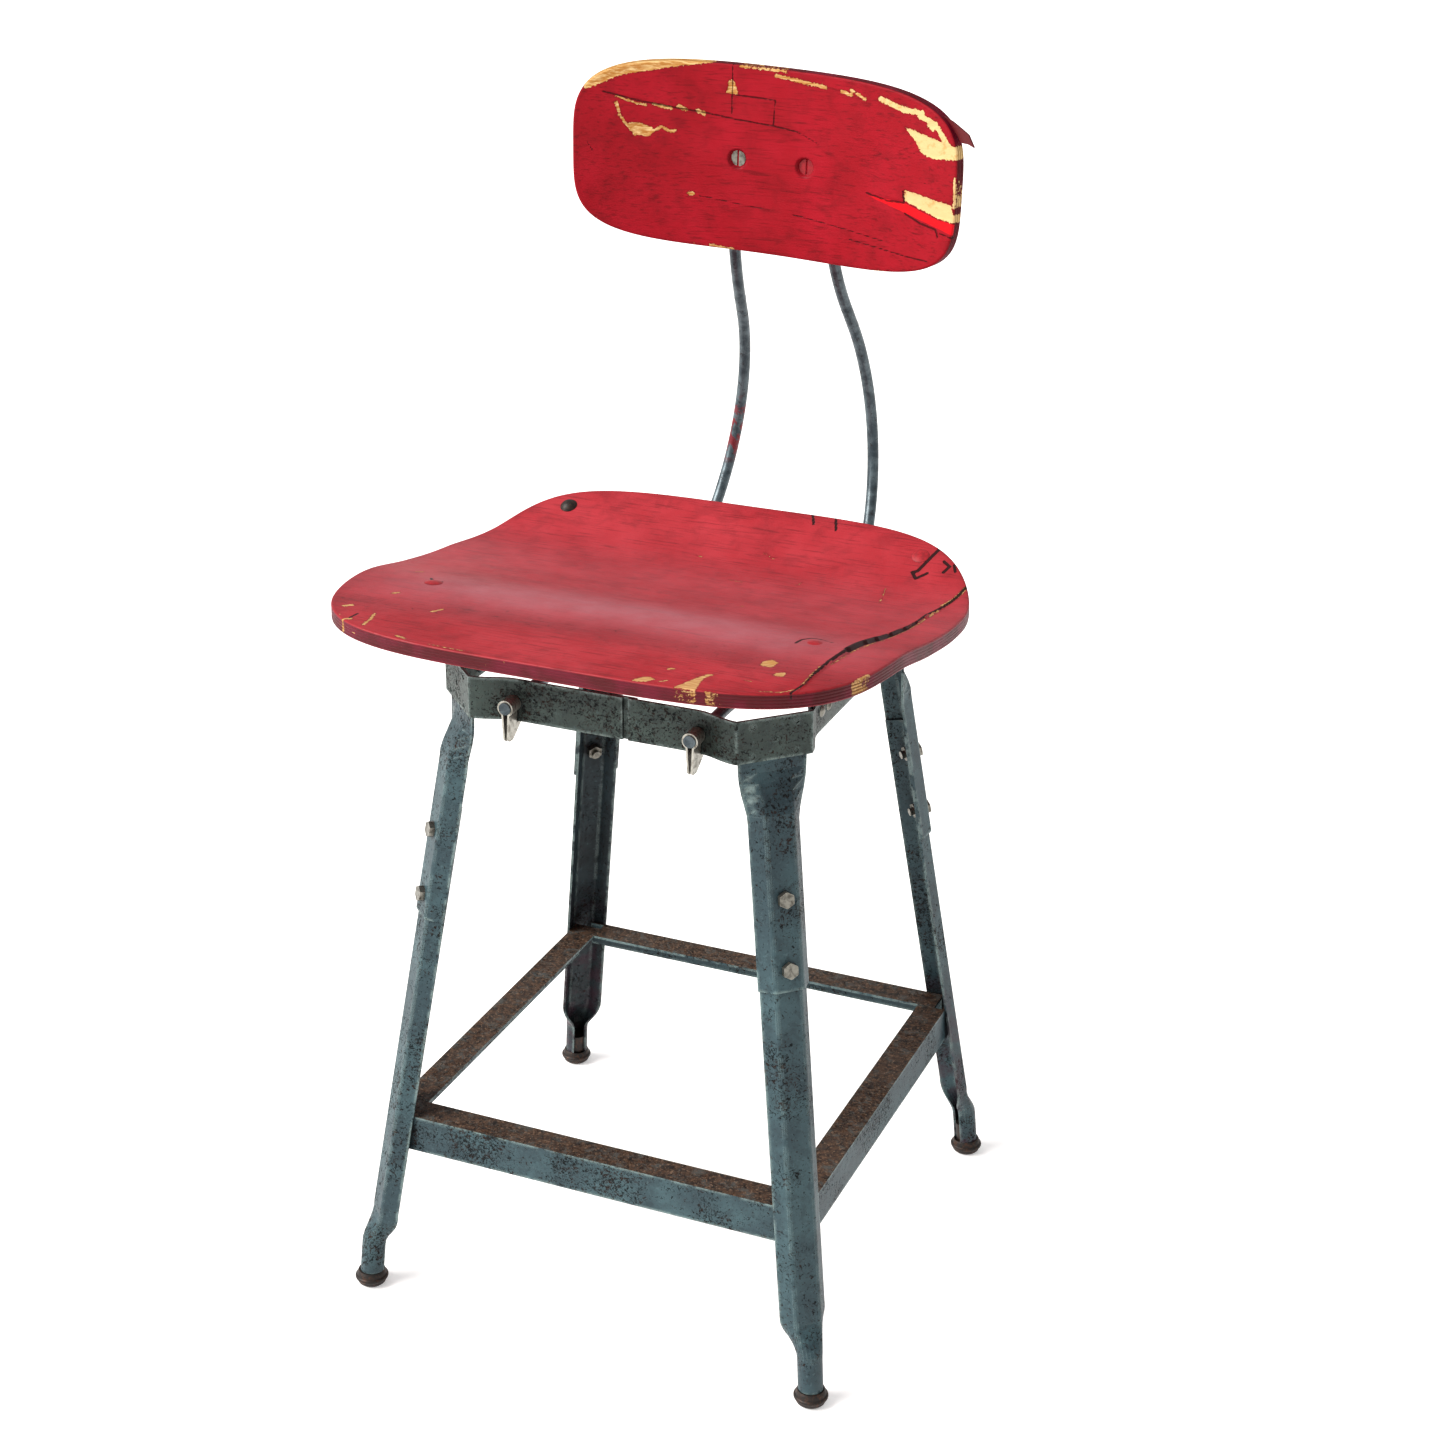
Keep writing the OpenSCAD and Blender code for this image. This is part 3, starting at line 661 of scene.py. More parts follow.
@dataclass(frozen=True)
class StudioFloor:
    """Plain pale matt floor that only catches soft shadows."""

    name: str = "pale_studio_floor"
    base: str = "#EFEDEC"
    glow: float = 0.3

    def build(self) -> bpy.types.Material:
        """Build the floor's shader.

        Returns:
            The material.
        """
        # White paper: matt, and it glows a little so that shadows on it stay faint
        g = Graph(self.name)
        normal = g.bump(g.noise(400, 2, 0.5), 0.01, 0.1)
        paper = g.finish(linear(self.base), 0.9, 0.0, normal, 1.45)
        surface = paper.node_tree.nodes["Principled BSDF"]
        surface.inputs["Emission Color"].default_value = (1.0, 1.0, 1.0, 1.0)
        surface.inputs["Emission Strength"].default_value = self.glow
        return paper


def add_mesh(
    name: str, points: Any, faces: Sequence[tuple[int, ...]], material: bpy.types.Material
) -> bpy.types.Object:
    """Add an object with a new mesh to the scene.

    Args:
        name: the object's and the mesh's name.
        points: N by 3 places in metres.
        faces: the faces' vertex numbers.
        material: the mesh's first material.

    Returns:
        The new object.
    """
    mesh = bpy.data.meshes.new(name)
    mesh.from_pydata(np.asarray(points, float).tolist(), [], list(faces))
    mesh.materials.append(material)
    shown = bpy.data.objects.new(name, mesh)
    bpy.context.scene.collection.objects.link(shown)
    return shown


def polyline_distance(points: np.ndarray, line: Sequence[Point]) -> np.ndarray:
    """Distance from points to a bent line.

    Args:
        points: N by 2 array in millimetres.
        line: the line's corners in millimetres.

    Returns:
        N distances in millimetres.
    """
    best = np.full(len(points), 1e6)
    corners = np.array(line, float)
    for a, b in zip(corners[:-1], corners[1:]):
        d = b - a
        t = np.clip(((points - a) @ d) / max(float(d @ d), 1e-9), 0, 1)
        best = np.minimum(best, np.linalg.norm(points - a - t[:, None] * d, axis=1))
    return best


def polygon_distance(points: np.ndarray, corners: Sequence[Point]) -> np.ndarray:
    """Signed distance to a closed outline, negative inside.

    Args:
        points: N by 2 array in millimetres.
        corners: the outline's corners in millimetres.

    Returns:
        N signed distances in millimetres.
    """
    ring = list(corners) + [corners[0]]
    inside = np.zeros(len(points), bool)
    x, y = points[:, 0], points[:, 1]
    for (x1, y1), (x2, y2) in zip(ring[:-1], ring[1:]):
        crosses = (y1 > y) != (y2 > y)
        at = x1 + (y - y1) * (x2 - x1) / (y2 - y1 if y2 != y1 else 1e-9)
        inside ^= crosses & (x < at)
    away = polyline_distance(points, ring)
    return np.where(inside, -away, away)


@dataclass(frozen=True)
class Patch:
    """An area with its paint gone, given by its outline."""

    corners: tuple[Point, ...]

    def distance(self, points: np.ndarray) -> np.ndarray:
        """Signed distance to the area, negative inside.

        Args:
            points: N by 2 array in millimetres.

        Returns:
            N signed distances.
        """
        return polygon_distance(points, self.corners)


@dataclass(frozen=True)
class Streak:
    """A narrow mark along a bent line, as wide as its width."""

    line: tuple[Point, ...]
    width: float = 1.5

    def distance(self, points: np.ndarray) -> np.ndarray:
        """Signed distance to the mark, negative inside.

        Args:
            points: N by 2 array in millimetres.

        Returns:
            N signed distances.
        """
        return polyline_distance(points, self.line) - self.width / 2


Mark = Patch | Streak


def closest(marks: Sequence[Mark], points: np.ndarray) -> np.ndarray:
    """Signed distance to the nearest of several marks.

    Args:
        marks: the marks.
        points: N by 2 array in millimetres.

    Returns:
        N signed distances, at most 30.
    """
    best = np.full(len(points), 30.0)
    for mark in marks:
        best = np.minimum(best, mark.distance(points))
    return best


@dataclass
class MouldedPanel:
    """A moulded plywood panel: two faces and a rounded rim of plies, built as one closed mesh."""

    name: str
    node: str
    body: str
    half_p: float
    half_q: float
    thickness: float
    cells_p: int
    cells_q: int
    bare: tuple[Mark, ...] = ()
    cracks: tuple[Mark, ...] = ()
    fresh: tuple[Mark, ...] = ()
    power: float = 4.0
    face_inset: float = 1.5
    back_inset: float = 1.6

    def surface(self, pq: np.ndarray) -> tuple[np.ndarray, np.ndarray]:
        """Point and outward normal of the shown face, in the panel's own millimetres.

        Args:
            pq: N by 2 array of places on the panel.

        Returns:
            N by 3 points and N by 3 unit normals.
        """
        raise NotImplementedError

    def relief(self, pq: np.ndarray) -> np.ndarray:
        """How far the shown face is lifted off its true shape, in millimetres.

        Args:
            pq: N by 2 array of places on the panel.

        Returns:
            N heights.
        """
        return np.zeros(len(pq))

    def to_frame(self, points: np.ndarray) -> np.ndarray:
        """Move points from the panel's own millimetres to the chair's frame in metres.

        Args:
            points: N by 3 array.

        Returns:
            N by 3 array.
        """
        raise NotImplementedError

    def stain(self, pq: np.ndarray) -> dict[str, np.ndarray]:
        """Extra fields for the paint, each 0 to 1.

        Args:
            pq: N by 2 array of places on the panel.

        Returns:
            Field name to N values.
        """
        return {"dust_and_sheen": np.zeros(len(pq)), "grime_and_shade": np.zeros(len(pq))}

    def inset(self, unit: np.ndarray, amount: float | np.ndarray) -> np.ndarray:
        """Places on the panel for a square grid, drawn into the rounded outline.

        Args:
            unit: N by 2 array, each from -1 to 1.
            amount: millimetres that the outline is drawn in.

        Returns:
            N by 2 array in millimetres.
        """
        reach = np.max(np.abs(unit), axis=1)
        way = unit / np.maximum(reach, 1e-9)[:, None]
        stretch = np.abs(way[:, 0]) ** self.power + np.abs(way[:, 1]) ** self.power
        k = 1.0 / np.maximum(stretch, 0.5) ** (1 / self.power)
        blend = 1 + (k - 1) * reach**2.5
        size = np.array([self.half_p, self.half_q]) - np.reshape(amount, (-1, 1))
        return unit * blend[:, None] * size

    def outline_gap(self, pq: np.ndarray) -> np.ndarray:
        """Rough distance from the outline, positive inside.

        Args:
            pq: N by 2 array in millimetres.

        Returns:
            N distances in millimetres.
        """
        f = (np.abs(pq[:, 0] / self.half_p) ** self.power + np.abs(pq[:, 1] / self.half_q) ** self.power)
        f = np.maximum(f, 1e-6) ** (1 / self.power)
        return (1 - f) * np.linalg.norm(pq, axis=1) / np.maximum(f, 1e-6)

    def rim_rings(self) -> list[tuple[float, float]]:
        """Depth and inset of each ring round the rim, from the shown face to the other.

        Returns:
            Pairs of millimetres.
        """
        t = self.thickness
        plies = 5
        rings = [(0.12, 0.85), (0.4, 0.4), (0.9, 0.1), (1.5, 0.0)]
        for i in range(1, plies):
            at = t * i / plies
            if 1.9 < at < t - 1.9:
                rings += [(at - 0.25, 0.05), (at, 0.3), (at + 0.25, 0.05)]
        rings += [(t - 1.5, 0.0), (t - 0.9, 0.12), (t - 0.4, 0.45), (t - 0.12, 0.9)]
        return rings

    def build(self, material: bpy.types.Material) -> bpy.types.Object:
        """Build the panel's mesh with its paint fields.

        Args:
            material: the painted plywood.

        Returns:
            The new object, riding on its body.
        """
        nu, nv = self.cells_p, self.cells_q
        u, v = np.meshgrid(np.linspace(-1, 1, nu + 1), np.linspace(-1, 1, nv + 1))
        unit = np.stack([u.ravel(), v.ravel()], 1)
        index = np.arange(len(unit)).reshape(nv + 1, nu + 1)
        loop = np.concatenate([index[0, :-1], index[:-1, -1], index[-1, :0:-1], index[:0:-1, 0]])
        layers = [(unit, 0.0, self.face_inset)]
        layers += [(unit[loop], depth, edge) for depth, edge in self.rim_rings()]
        layers += [(unit, self.thickness, self.back_inset)]
        places, depths = [], []
        for grid, depth, edge in layers:
            places.append(self.inset(grid, edge))
            depths.append(np.full(len(grid), depth))
        pq, depth = np.concatenate(places), np.concatenate(depths)
        base, normal = self.surface(pq)
        fade = np.clip(1 - depth / self.thickness, 0, 1)
        lift = self.relief(pq) * fade - depth
        points = self.to_frame(base + normal * lift[:, None])
        faces = self.faces(index, loop, [len(grid) for grid, _, _ in layers])
        shown = add_mesh(self.name, points, faces, material)
        mesh = shown.data
        mesh.shade_smooth()
        fields = {
            "bare": closest(self.bare, pq),
            "crack": closest(self.cracks, pq),
            "fresh": closest(self.fresh, pq),
            "rim": self.outline_gap(pq),
            "depth": depth,
        }
        fields.update(self.stain(pq))
        fields["bare"] = np.where(depth > self.thickness - 1, 30.0, fields["bare"])
        fields["crack"] = np.where(depth > 4.5, 30.0, fields["crack"])
        fields["fresh"] = np.where(depth > 2.5, 30.0, fields["fresh"])
        for name, values in fields.items():
            attribute = mesh.attributes.new(name, "FLOAT", "POINT")
            attribute.data.foreach_set("value", values.astype(np.float32))
        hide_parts(self.node)
        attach(shown, self.body)
        return shown

    @staticmethod
    def faces(index: np.ndarray, loop: np.ndarray, sizes: list[int]) -> list[tuple[int, ...]]:
        """Join the two grids and the rim's rings into one closed skin.

        Args:
            index: vertex numbers of the shown face's grid.
            loop: vertex numbers of that grid's border, in order.
            sizes: number of vertices in each layer.

        Returns:
            The faces' vertex numbers.
        """
        a, b = index[:-1, :-1].ravel(), index[:-1, 1:].ravel()
        c, d = index[1:, 1:].ravel(), index[1:, :-1].ravel()
        faces = list(zip(a.tolist(), b.tolist(), c.tolist(), d.tolist()))
        starts = np.cumsum([0] + sizes)
        rings = [loop]
        for k in range(1, len(sizes) - 1):
            rings.append(starts[k] + np.arange(len(loop)))
        rings.append(starts[-2] + loop)
        for upper, lower in zip(rings[:-1], rings[1:]):
            p, q = upper.tolist(), lower.tolist()
            n = len(p)
            faces += [(q[i], q[(i + 1) % n], p[(i + 1) % n], p[i]) for i in range(n)]
        last = int(starts[-2])
        faces += [tuple(last + corner for corner in reversed(face)) for face in faces[: len(a)]]
        return faces


SEAT_BARE: tuple[Mark, ...] = (
    Streak(((-184, -143), (-180, -139)), 3.5),
    Streak(((-152, -171), (-153, -160), (-156, -148)), 2.2),
    Streak(((-166, -104), (-163, -101)), 2.5),
    Streak(((-121, -127), (-116, -119)), 2.0),
    Streak(((-181, -42), (-177, -38)), 1.6),
    Streak(((-172, -168), (-166, -164)), 2.6),
    Streak(((-120, -181), (-112, -183)), 2.2),
    Streak(((-92, -186), (-72, -187), (-50, -188)), 0.9),
    Patch(((66, -189), (75, -188), (80, -180), (73, -178), (68, -183))),
    Streak(((84, -183), (88, -179)), 1.2),
    Patch(((97, -188), (112, -187), (110, -176), (109, -165), (113, -156), (108, -158), (103, -170))),
    Patch(((134, -127), (143, -128), (144, -117), (138, -114), (133, -119))),
    Patch(((149, -141), (157, -141), (156, -133), (150, -135))),
    Streak(((80, -160), (83, -158)), 2.6),
    Streak(((134, -158), (140, -157)), 1.0),
    Streak(((120, -187), (150, -185), (166, -181)), 3.5),
    Streak(((166, -184), (180, -173), (192, -160)), 5.0),
    Streak(((203, -130), (207, -112)), 2.0),
    Streak(((197, 138), (194, 124), (189, 104)), 2.2),
    Streak(((190, 92), (189, 60), (188, 30), (186, -10)), 1.3),
    Streak(((186, -20), (184, -51), (181, -73), (178, -104)), 1.0),
    Streak(((173, -110), (173, -135), (174, -158), (165, -168), (150, -172)), 1.0),
    Streak(((138, 122), (141, 104), (145, 88)), 0.7),
    Streak(((-25, 130), (-18, 128)), 0.8),
    Streak(((20, 92), (32, 90)), 0.8),
    Streak(((28, 144), (39, 139)), 0.8),
    Streak(((72, 103), (74, 112)), 0.8),
    Streak(((60, 20), (62, 21)), 1.0),
)

SEAT_CRACKS: tuple[Mark, ...] = (
    Streak(((200, 148), (196, 134), (191, 107), (187, 75), (187, 30)), 0.9),
    Streak(((187, 30), (185, -1), (183, -23)), 2.2),
    Streak(((183, -20), (180, -51), (178, -73)), 3.6),
    Streak(((178, -73), (175, -102), (174, -127)), 1.3),
    Streak(((174, -127), (175, -148), (172, -166)), 0.8),
    Streak(((140, -75), (141, -66), (146, -58), (153, -58)), 1.1),
    Streak(((153, -58), (163, -62)), 0.5),
    Streak(((165, 172), (159, 158), (155, 148), (152, 146)), 1.7),
    Streak(((151, 146), (156, 140), (163, 147)), 1.4),
    Streak(((172, 160), (178, 156), (175, 150)), 1.4),
    Streak(((181, 158), (184, 152)), 1.1),
    Streak(((52, 189), (57, 178)), 1.2),
    Streak(((72, 188), (77, 175)), 1.2),
    Streak(((-160, -57), (-155, -64), (-147, -63)), 1.3),
    Streak(((-168, -163), (-167, -153)), 0.8),
)

BACK_BARE: tuple[Mark, ...] = (
    Patch(((-152, 46), (-138, 52), (-122, 59), (-98, 64), (-74, 69), (-44, 74), (-40, 82), (-160, 82))),
    Streak(((-128, 42), (-112, 37), (-104, 36)), 1.6),
    Streak(((-98, 37), (-84, 35)), 2.6),
    Streak(((-78, 37), (-72, 35)), 3.0),
    Streak(((-62, 35), (-57, 33)), 3.2),
    Streak(((-128, 37), (-125, 27), (-120, 21)), 2.0),
    Patch(((-122, 21), (-113, 12), (-101, 12), (-99, 19), (-110, 22))),
    Streak(((-100, 15), (-92, 20), (-84, 17), (-80, 18)), 2.2),
    Patch(((-37, 61), (-33, 61), (-29, 50), (-39, 51))),
    Streak(((2, 68), (22, 66), (44, 64)), 2.6),
    Streak(((-28, 72), (10, 72)), 1.6),
    Streak(((58, 63), (66, 61)), 2.4),
    Streak(((66, 65), (78, 60)), 2.6),
    Streak(((92, 62), (112, 57), (128, 57)), 4.2),
    Streak(((126, 55), (140, 51), (150, 40), (157, 32)), 4.4),
    Patch(((136, 54), (142, 50), (138, 45), (133, 49))),
    Patch(((113, 45), (134, 41), (160, 37), (163, 28), (140, 25), (130, 27), (123, 36))),
    Patch(((116, -3), (158, -7), (164, -20), (146, -19), (117, -11))),
    Streak(((160, 14), (161, -8)), 1.6),
    Streak(((-68, -31), (-65, -31)), 3.0),
    Streak(((-50, -71), (-30, -72)), 1.5),
    Streak(((92, -71), (110, -70)), 1.6),
)

BACK_CRACKS: tuple[Mark, ...] = (
    Streak(((-138, 45), (-109, 39), (-83, 36), (-57, 34), (-30, 31), (4, 29), (22, 27)), 0.8),
    Streak(((-34, 73), (-34, 35)), 0.8),
    Streak(((-32, 50), (2, 49), (1, 30)), 0.7),
    Streak(((83, -11), (102, -14), (117, -13)), 0.9),
    Streak(((117, -12), (115, -4)), 0.9),
    Streak(((118, -21), (132, -26), (146, -28), (148, -33)), 1.2),
    Streak(((150, -30), (163, -32)), 0.8),
    Streak(((20, -38), (60, -42), (100, -46)), 0.35),
    Streak(((70, -50), (120, -54), (140, -54)), 0.45),
    Streak(((-60, -32), (-20, -36), (0, -37)), 0.3),
    Streak(((-150, 4), (-146, -2)), 0.5),
    Streak(((22, 27), (40, 20)), 0.3),
)

BACK_FRESH: tuple[Mark, ...] = (
    Patch(((84, -13), (117, -13), (146, -20), (163, -21), (163, -30), (150, -27), (120, -21))),
)


@dataclass
class SeatPanel(MouldedPanel):
    """The dished seat, in one curve from front to back."""

    rise: tuple[float, ...] = (29, 28, 25, 12.5, 3, 0.5, 27)
    low: float = 561.0
    centre_y: float = 0.0

    def heights(self, q: np.ndarray) -> np.ndarray:
        """Height of the seat's top over the floor.

        Args:
            q: distance behind the seat's middle in millimetres.

        Returns:
            Heights in millimetres.
        """
        steps = len(self.rise) - 1
        u = (q + self.half_q) / (2 * self.half_q) * steps
        i = np.clip(np.floor(u), 0, steps - 1).astype(int)
        t = u - i
        r = np.array(self.rise, float)
        a, b = r[np.maximum(i - 1, 0)], r[i]
        c, d = r[i + 1], r[np.minimum(i + 2, steps)]
        curve = b + (c - a) / 2 * t + (a - 2.5 * b + 2 * c - d / 2) * t**2
        return self.low + curve + (1.5 * b - a / 2 - 1.5 * c + d / 2) * t**3

    def surface(self, pq: np.ndarray) -> tuple[np.ndarray, np.ndarray]:
        """Point and normal of the seat's top.

        Args:
            pq: N by 2 array of places on the seat.

        Returns:
            N by 3 points and N by 3 unit normals.
        """
        q = pq[:, 1]
        slope = self.heights(q + 0.5) - self.heights(q - 0.5)
        normal = np.stack([np.zeros(len(q)), -slope, np.ones(len(q))], 1)
        normal /= np.linalg.norm(normal, axis=1)[:, None]
        return np.stack([pq[:, 0], q, self.heights(q)], 1), normal

    def to_frame(self, points: np.ndarray) -> np.ndarray:
        """Move points from the seat's own millimetres to the chair's frame.

        Args:
            points: N by 3 array.

        Returns:
            N by 3 array in metres.
        """
        return (points + np.array([0.0, self.centre_y, 0.0])) * MM

    def relief(self, pq: np.ndarray) -> np.ndarray:
        """The veneer lifts along the long split near the right-hand edge.

        Args:
            pq: N by 2 array of places on the seat.

        Returns:
            N heights in millimetres.
        """
        p, q = pq[:, 0], pq[:, 1]
        along = np.array([-190, -165, -127, -73, -23, 41, 107, 143, 190.0])
        split = np.interp(q, along, [172, 175, 175, 178, 183, 187, 191, 198, 206.0])
        strength = np.interp(q, along, [0.0, 0.3, 1.1, 2.0, 2.1, 1.3, 0.9, 0.5, 0.0])
        inner = p < split
        near = np.abs(p - split)
        lift = np.where(inner, strength * np.exp(-near / 16), -0.25 * strength * np.exp(-near / 10))
        swell = 0.5 * np.exp(-(((p + 152) ** 2 + (q + 60) ** 2) / 120))
        swell += 0.6 * np.exp(-(((p - 148) ** 2 + (q + 62) ** 2) / 150))
        return lift + swell + 0.16 * np.sin(p / 23 + 1.3) * np.sin(q / 19)

    def stain(self, pq: np.ndarray) -> dict[str, np.ndarray]:
        """Dust rubbed into the front slope of the dish, with a painted sheen on it, grime in a band in
        front of it and a darker strip along the rim.

        Args:
            pq: N by 2 array of places on the seat.

        Returns:
            Field name to N values.
        """
        p, q = pq[:, 0], pq[:, 1]
        bend = q + 0.0006 * p**2
        dust_and_sheen = np.exp(-(((bend + 62) / 40) ** 2)) * np.exp(-((p / 190) ** 4))
        dust_and_sheen += 0.25 * np.exp(-(((q - 60) / 90) ** 2))
        grime_and_shade = 0.85 * np.exp(-(((bend + 112) / 16) ** 2)) + 0.3 * np.exp(-(((bend + 40) / 60) ** 2))
        edge = np.exp(-np.maximum(self.outline_gap(pq), 0) / 4.5)
        return {"dust_and_sheen": np.clip(dust_and_sheen, 0, 1), "grime_and_shade": np.clip(grime_and_shade + 0.7 * edge, 0, 1)}


@dataclass
class BackrestPanel(MouldedPanel):
    """The curved backrest, hollow towards the sitter."""

    radius: float = 495.0
    tilt: float = 3.5
    droop: float = 2.4
    pivot: tuple[float, float, float] = (0.0, 0.0, 0.0)
    pivot_offset: tuple[float, float] = (0.0, 0.0)
    screw_p: float = 28.7
    recess_radius: float = 6.9
    recess_depth: float = 3.7

    def surface(self, pq: np.ndarray) -> tuple[np.ndarray, np.ndarray]:
        """Point and normal of the backrest's front face.

        Args:
            pq: N by 2 array of places on the panel.

        Returns:
            N by 3 points and N by 3 unit normals.
        """
        reach = self.radius + self.thickness
        angle = np.arcsin(pq[:, 0] / reach)
        normal = np.stack([-np.sin(angle), -np.cos(angle), np.zeros(len(angle))], 1)
        points = -normal * self.radius
        points[:, 1] -= self.radius
        points[:, 2] = pq[:, 1]
        return points, normal

    def to_frame(self, points: np.ndarray) -> np.ndarray:
        """Move points from the panel's own millimetres to the chair's frame.

        Args:
            points: N by 3 array.

        Returns:
            N by 3 array in metres.
        """
        sideways = Matrix.Rotation(math.radians(self.droop), 3, "Y")
        turn = sideways @ Matrix.Rotation(math.radians(self.tilt), 3, "X")
        local = points - np.array([0.0, self.pivot_offset[0], self.pivot_offset[1]])
        return (local @ np.array(turn).T) * MM + np.array(self.pivot)

    def relief(self, pq: np.ndarray) -> np.ndarray:
        """Veneer lost in the bare patches and lifted along the cracks.

        Args:
            pq: N by 2 array of places on the panel.

        Returns:
            N heights in millimetres.
        """
        p, q = pq[:, 0], pq[:, 1]
        patches = [mark for mark in self.bare if isinstance(mark, Patch)]
        sunk = np.clip(-closest(patches, pq) / 1.2, 0, 1) * 0.55
        split = np.interp(p, [83, 117, 147, 165], [-11, -12, -20, -21.0])
        lifted = 0.7 * np.exp(-np.abs(q - split) / 6) * np.clip((p - 80) / 30, 0, 1) * (q > split)
        crack = np.interp(p, [-138, -57, 22], [45, 34, 27.0])
        shallow = 0.3 * np.exp(-np.abs(q - crack) / 5) * (p < 24) * (q > crack)
        recess = self.recess_depth * np.clip((self.recess_radius + 0.6 - self.from_screw(pq)) / 1.2, 0, 1)
        return lifted * (closest(patches, pq) > 0.5) + shallow - sunk - recess

    def from_screw(self, pq: np.ndarray) -> np.ndarray:
        """Distance to the nearer of the two screws.

        Args:
            pq: N by 2 array of places on the panel.

        Returns:
            N distances in millimetres.
        """
        return np.hypot(np.abs(pq[:, 0]) - self.screw_p, pq[:, 1])

    def stain(self, pq: np.ndarray) -> dict[str, np.ndarray]:
        """A dark smudge by the old chip, a darker strip along the rim and painted shade in a ring round
        each screw recess.

        Args:
            pq: N by 2 array of places on the panel.

        Returns:
            Field name to N values.
        """
        p, q = pq[:, 0], pq[:, 1]
        smudge = np.exp(-(((p + 77) / 5) ** 2 + ((q - 24) / 4.5) ** 2))
        edge = np.exp(-np.maximum(self.outline_gap(pq), 0) / 3.0)
        # Painted shade: a dark ring round each screw recess
        ring = np.exp(-(((self.from_screw(pq) - 7.2) / 1.1) ** 2))
        return {"dust_and_sheen": np.full(len(p), 0.05), "grime_and_shade": np.clip(1.2 * smudge + 0.6 * edge + ring, 0, 1)}


@dataclass
class Splinter:
    """A loose shard of veneer on the backrest's upper right-hand edge."""

    panel: BackrestPanel
    outline: tuple[Point, ...] = (
        *((140, 58), (152, 54), (160, 50), (166, 47)),
        *((171.5, 38.5), (166.5, 40), (160, 40), (154, 47)),
    )
    reach: float = 171.9
    low: float = 5.0
    high: float = 6.6

    def build(self, material: bpy.types.Material) -> bpy.types.Object:
        """Build the shard as a thin plate in the panel's plies.

        Args:
            material: the painted plywood.

        Returns:
            The new object, riding with the backrest.
        """
        pq = np.array(self.outline, float)
        base, normal = self.panel.surface(np.clip(pq, -self.reach, self.reach))
        n = len(pq)
        front = self.panel.to_frame(base - normal * self.low)
        back = self.panel.to_frame(base - normal * self.high)
        faces: list[tuple[int, ...]] = [tuple(range(n)), tuple(range(2 * n - 1, n - 1, -1))]
        faces += [(i, n + i, n + (i + 1) % n, (i + 1) % n) for i in range(n)]
        shard = add_mesh("veneer_splinter", np.concatenate([front, back]), faces, material)
        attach(shard, "backrest")
        return shard


@dataclass
class SteelFrame:
    """Dresses the pressed-steel frame, its fasteners, the glides, the clips and the rods."""

    nodes: dict[str, bpy.types.Object]
    done: list[str] = field(default_factory=list)

    def dress(self, prefixes: Sequence[str], material: bpy.types.Material) -> None:
        """Give one material to every CAD node whose name starts so.

        Args:
            prefixes: starts of node names.
            material: the material.
        """
        for name, node in self.nodes.items():
            if name.startswith(tuple(prefixes)):
                node.data.materials.clear()
                node.data.materials.append(material)
                self.done.append(name)

    def dress_where(self, node: str, material: bpy.types.Material, inside: Any) -> None:
        """Give a second material to some of a node's faces.

        Args:
            node: the CAD node's name.
            material: the second material.
            inside: function of a face's centre that says whether it is changed.
        """
        mesh = self.nodes[node].data
        mesh.materials.append(material)
        place = len(mesh.materials) - 1
        for face in mesh.polygons:
            if inside(face.center):
                face.material_index = place

    def build(self) -> None:
        """Dress every steel node."""
        self.dress(("upper_leg", "lower_leg_f", "seat_bracket"), Enamel().build())
        olive = Enamel(name="stove_enamel_on_apron", base="#333F3B", light="#414F4A", deep="#20282A")
        self.dress(("apron",), olive.build())
        # Back-left legs: a darker copy of the enamel, painted shade inside the channels
        shade_palette = {"base": "#202A2E", "light": "#2C393E", "deep": "#12181B"}
        shaded_enamel = Enamel(name="stove_enamel_in_painted_shade", red_bloom=True, **shade_palette)
        self.dress(("upper_leg_bl", "lower_leg_bl"), shaded_enamel.build())
        bloom = Enamel(name="chipped_stove_enamel_overspray", red_bloom=True)
        self.dress(("lower_leg_br",), bloom.build())
        tops = Enamel(name="chipped_stove_enamel_rusty_tops", rusty_tops=True)
        self.dress(("stretcher",), tops.build())
        self.dress(("glide",), DarkSteel().build())
        self.dress(("rod_frame", "pivot_plate"), RodSteel().build())
        self.dress(("clip",), PlatedSteel().build())
        weathered = PlatedSteel(name="weathered_zinc_plate", base="#86847C", tarnish="#38342E")
        fasteners = ("leg_", "bracket_bolts", "seat_nuts", "backrest_screws", "backrest_nuts")
        self.dress(fasteners, weathered.build())
        self.dress(("seat_bolts",), DarkSteel(name="painted_over_bolt_steel").build())
        red = ColouredPaint("crimson_paint_on_metal", "#9C1824").build()
        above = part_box("seat_bolts")[0].z + 0.018
        self.dress_where("seat_bolts", red, lambda c: c.z > above and not (c.x < 0 and c.y > 0))
        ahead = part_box("backrest_screws")[0].y + 0.006
        self.dress_where("backrest_screws", red, lambda c: c.x > 0 and c.y < ahead)
        LOG.info("dressed %d steel nodes", len(self.done))


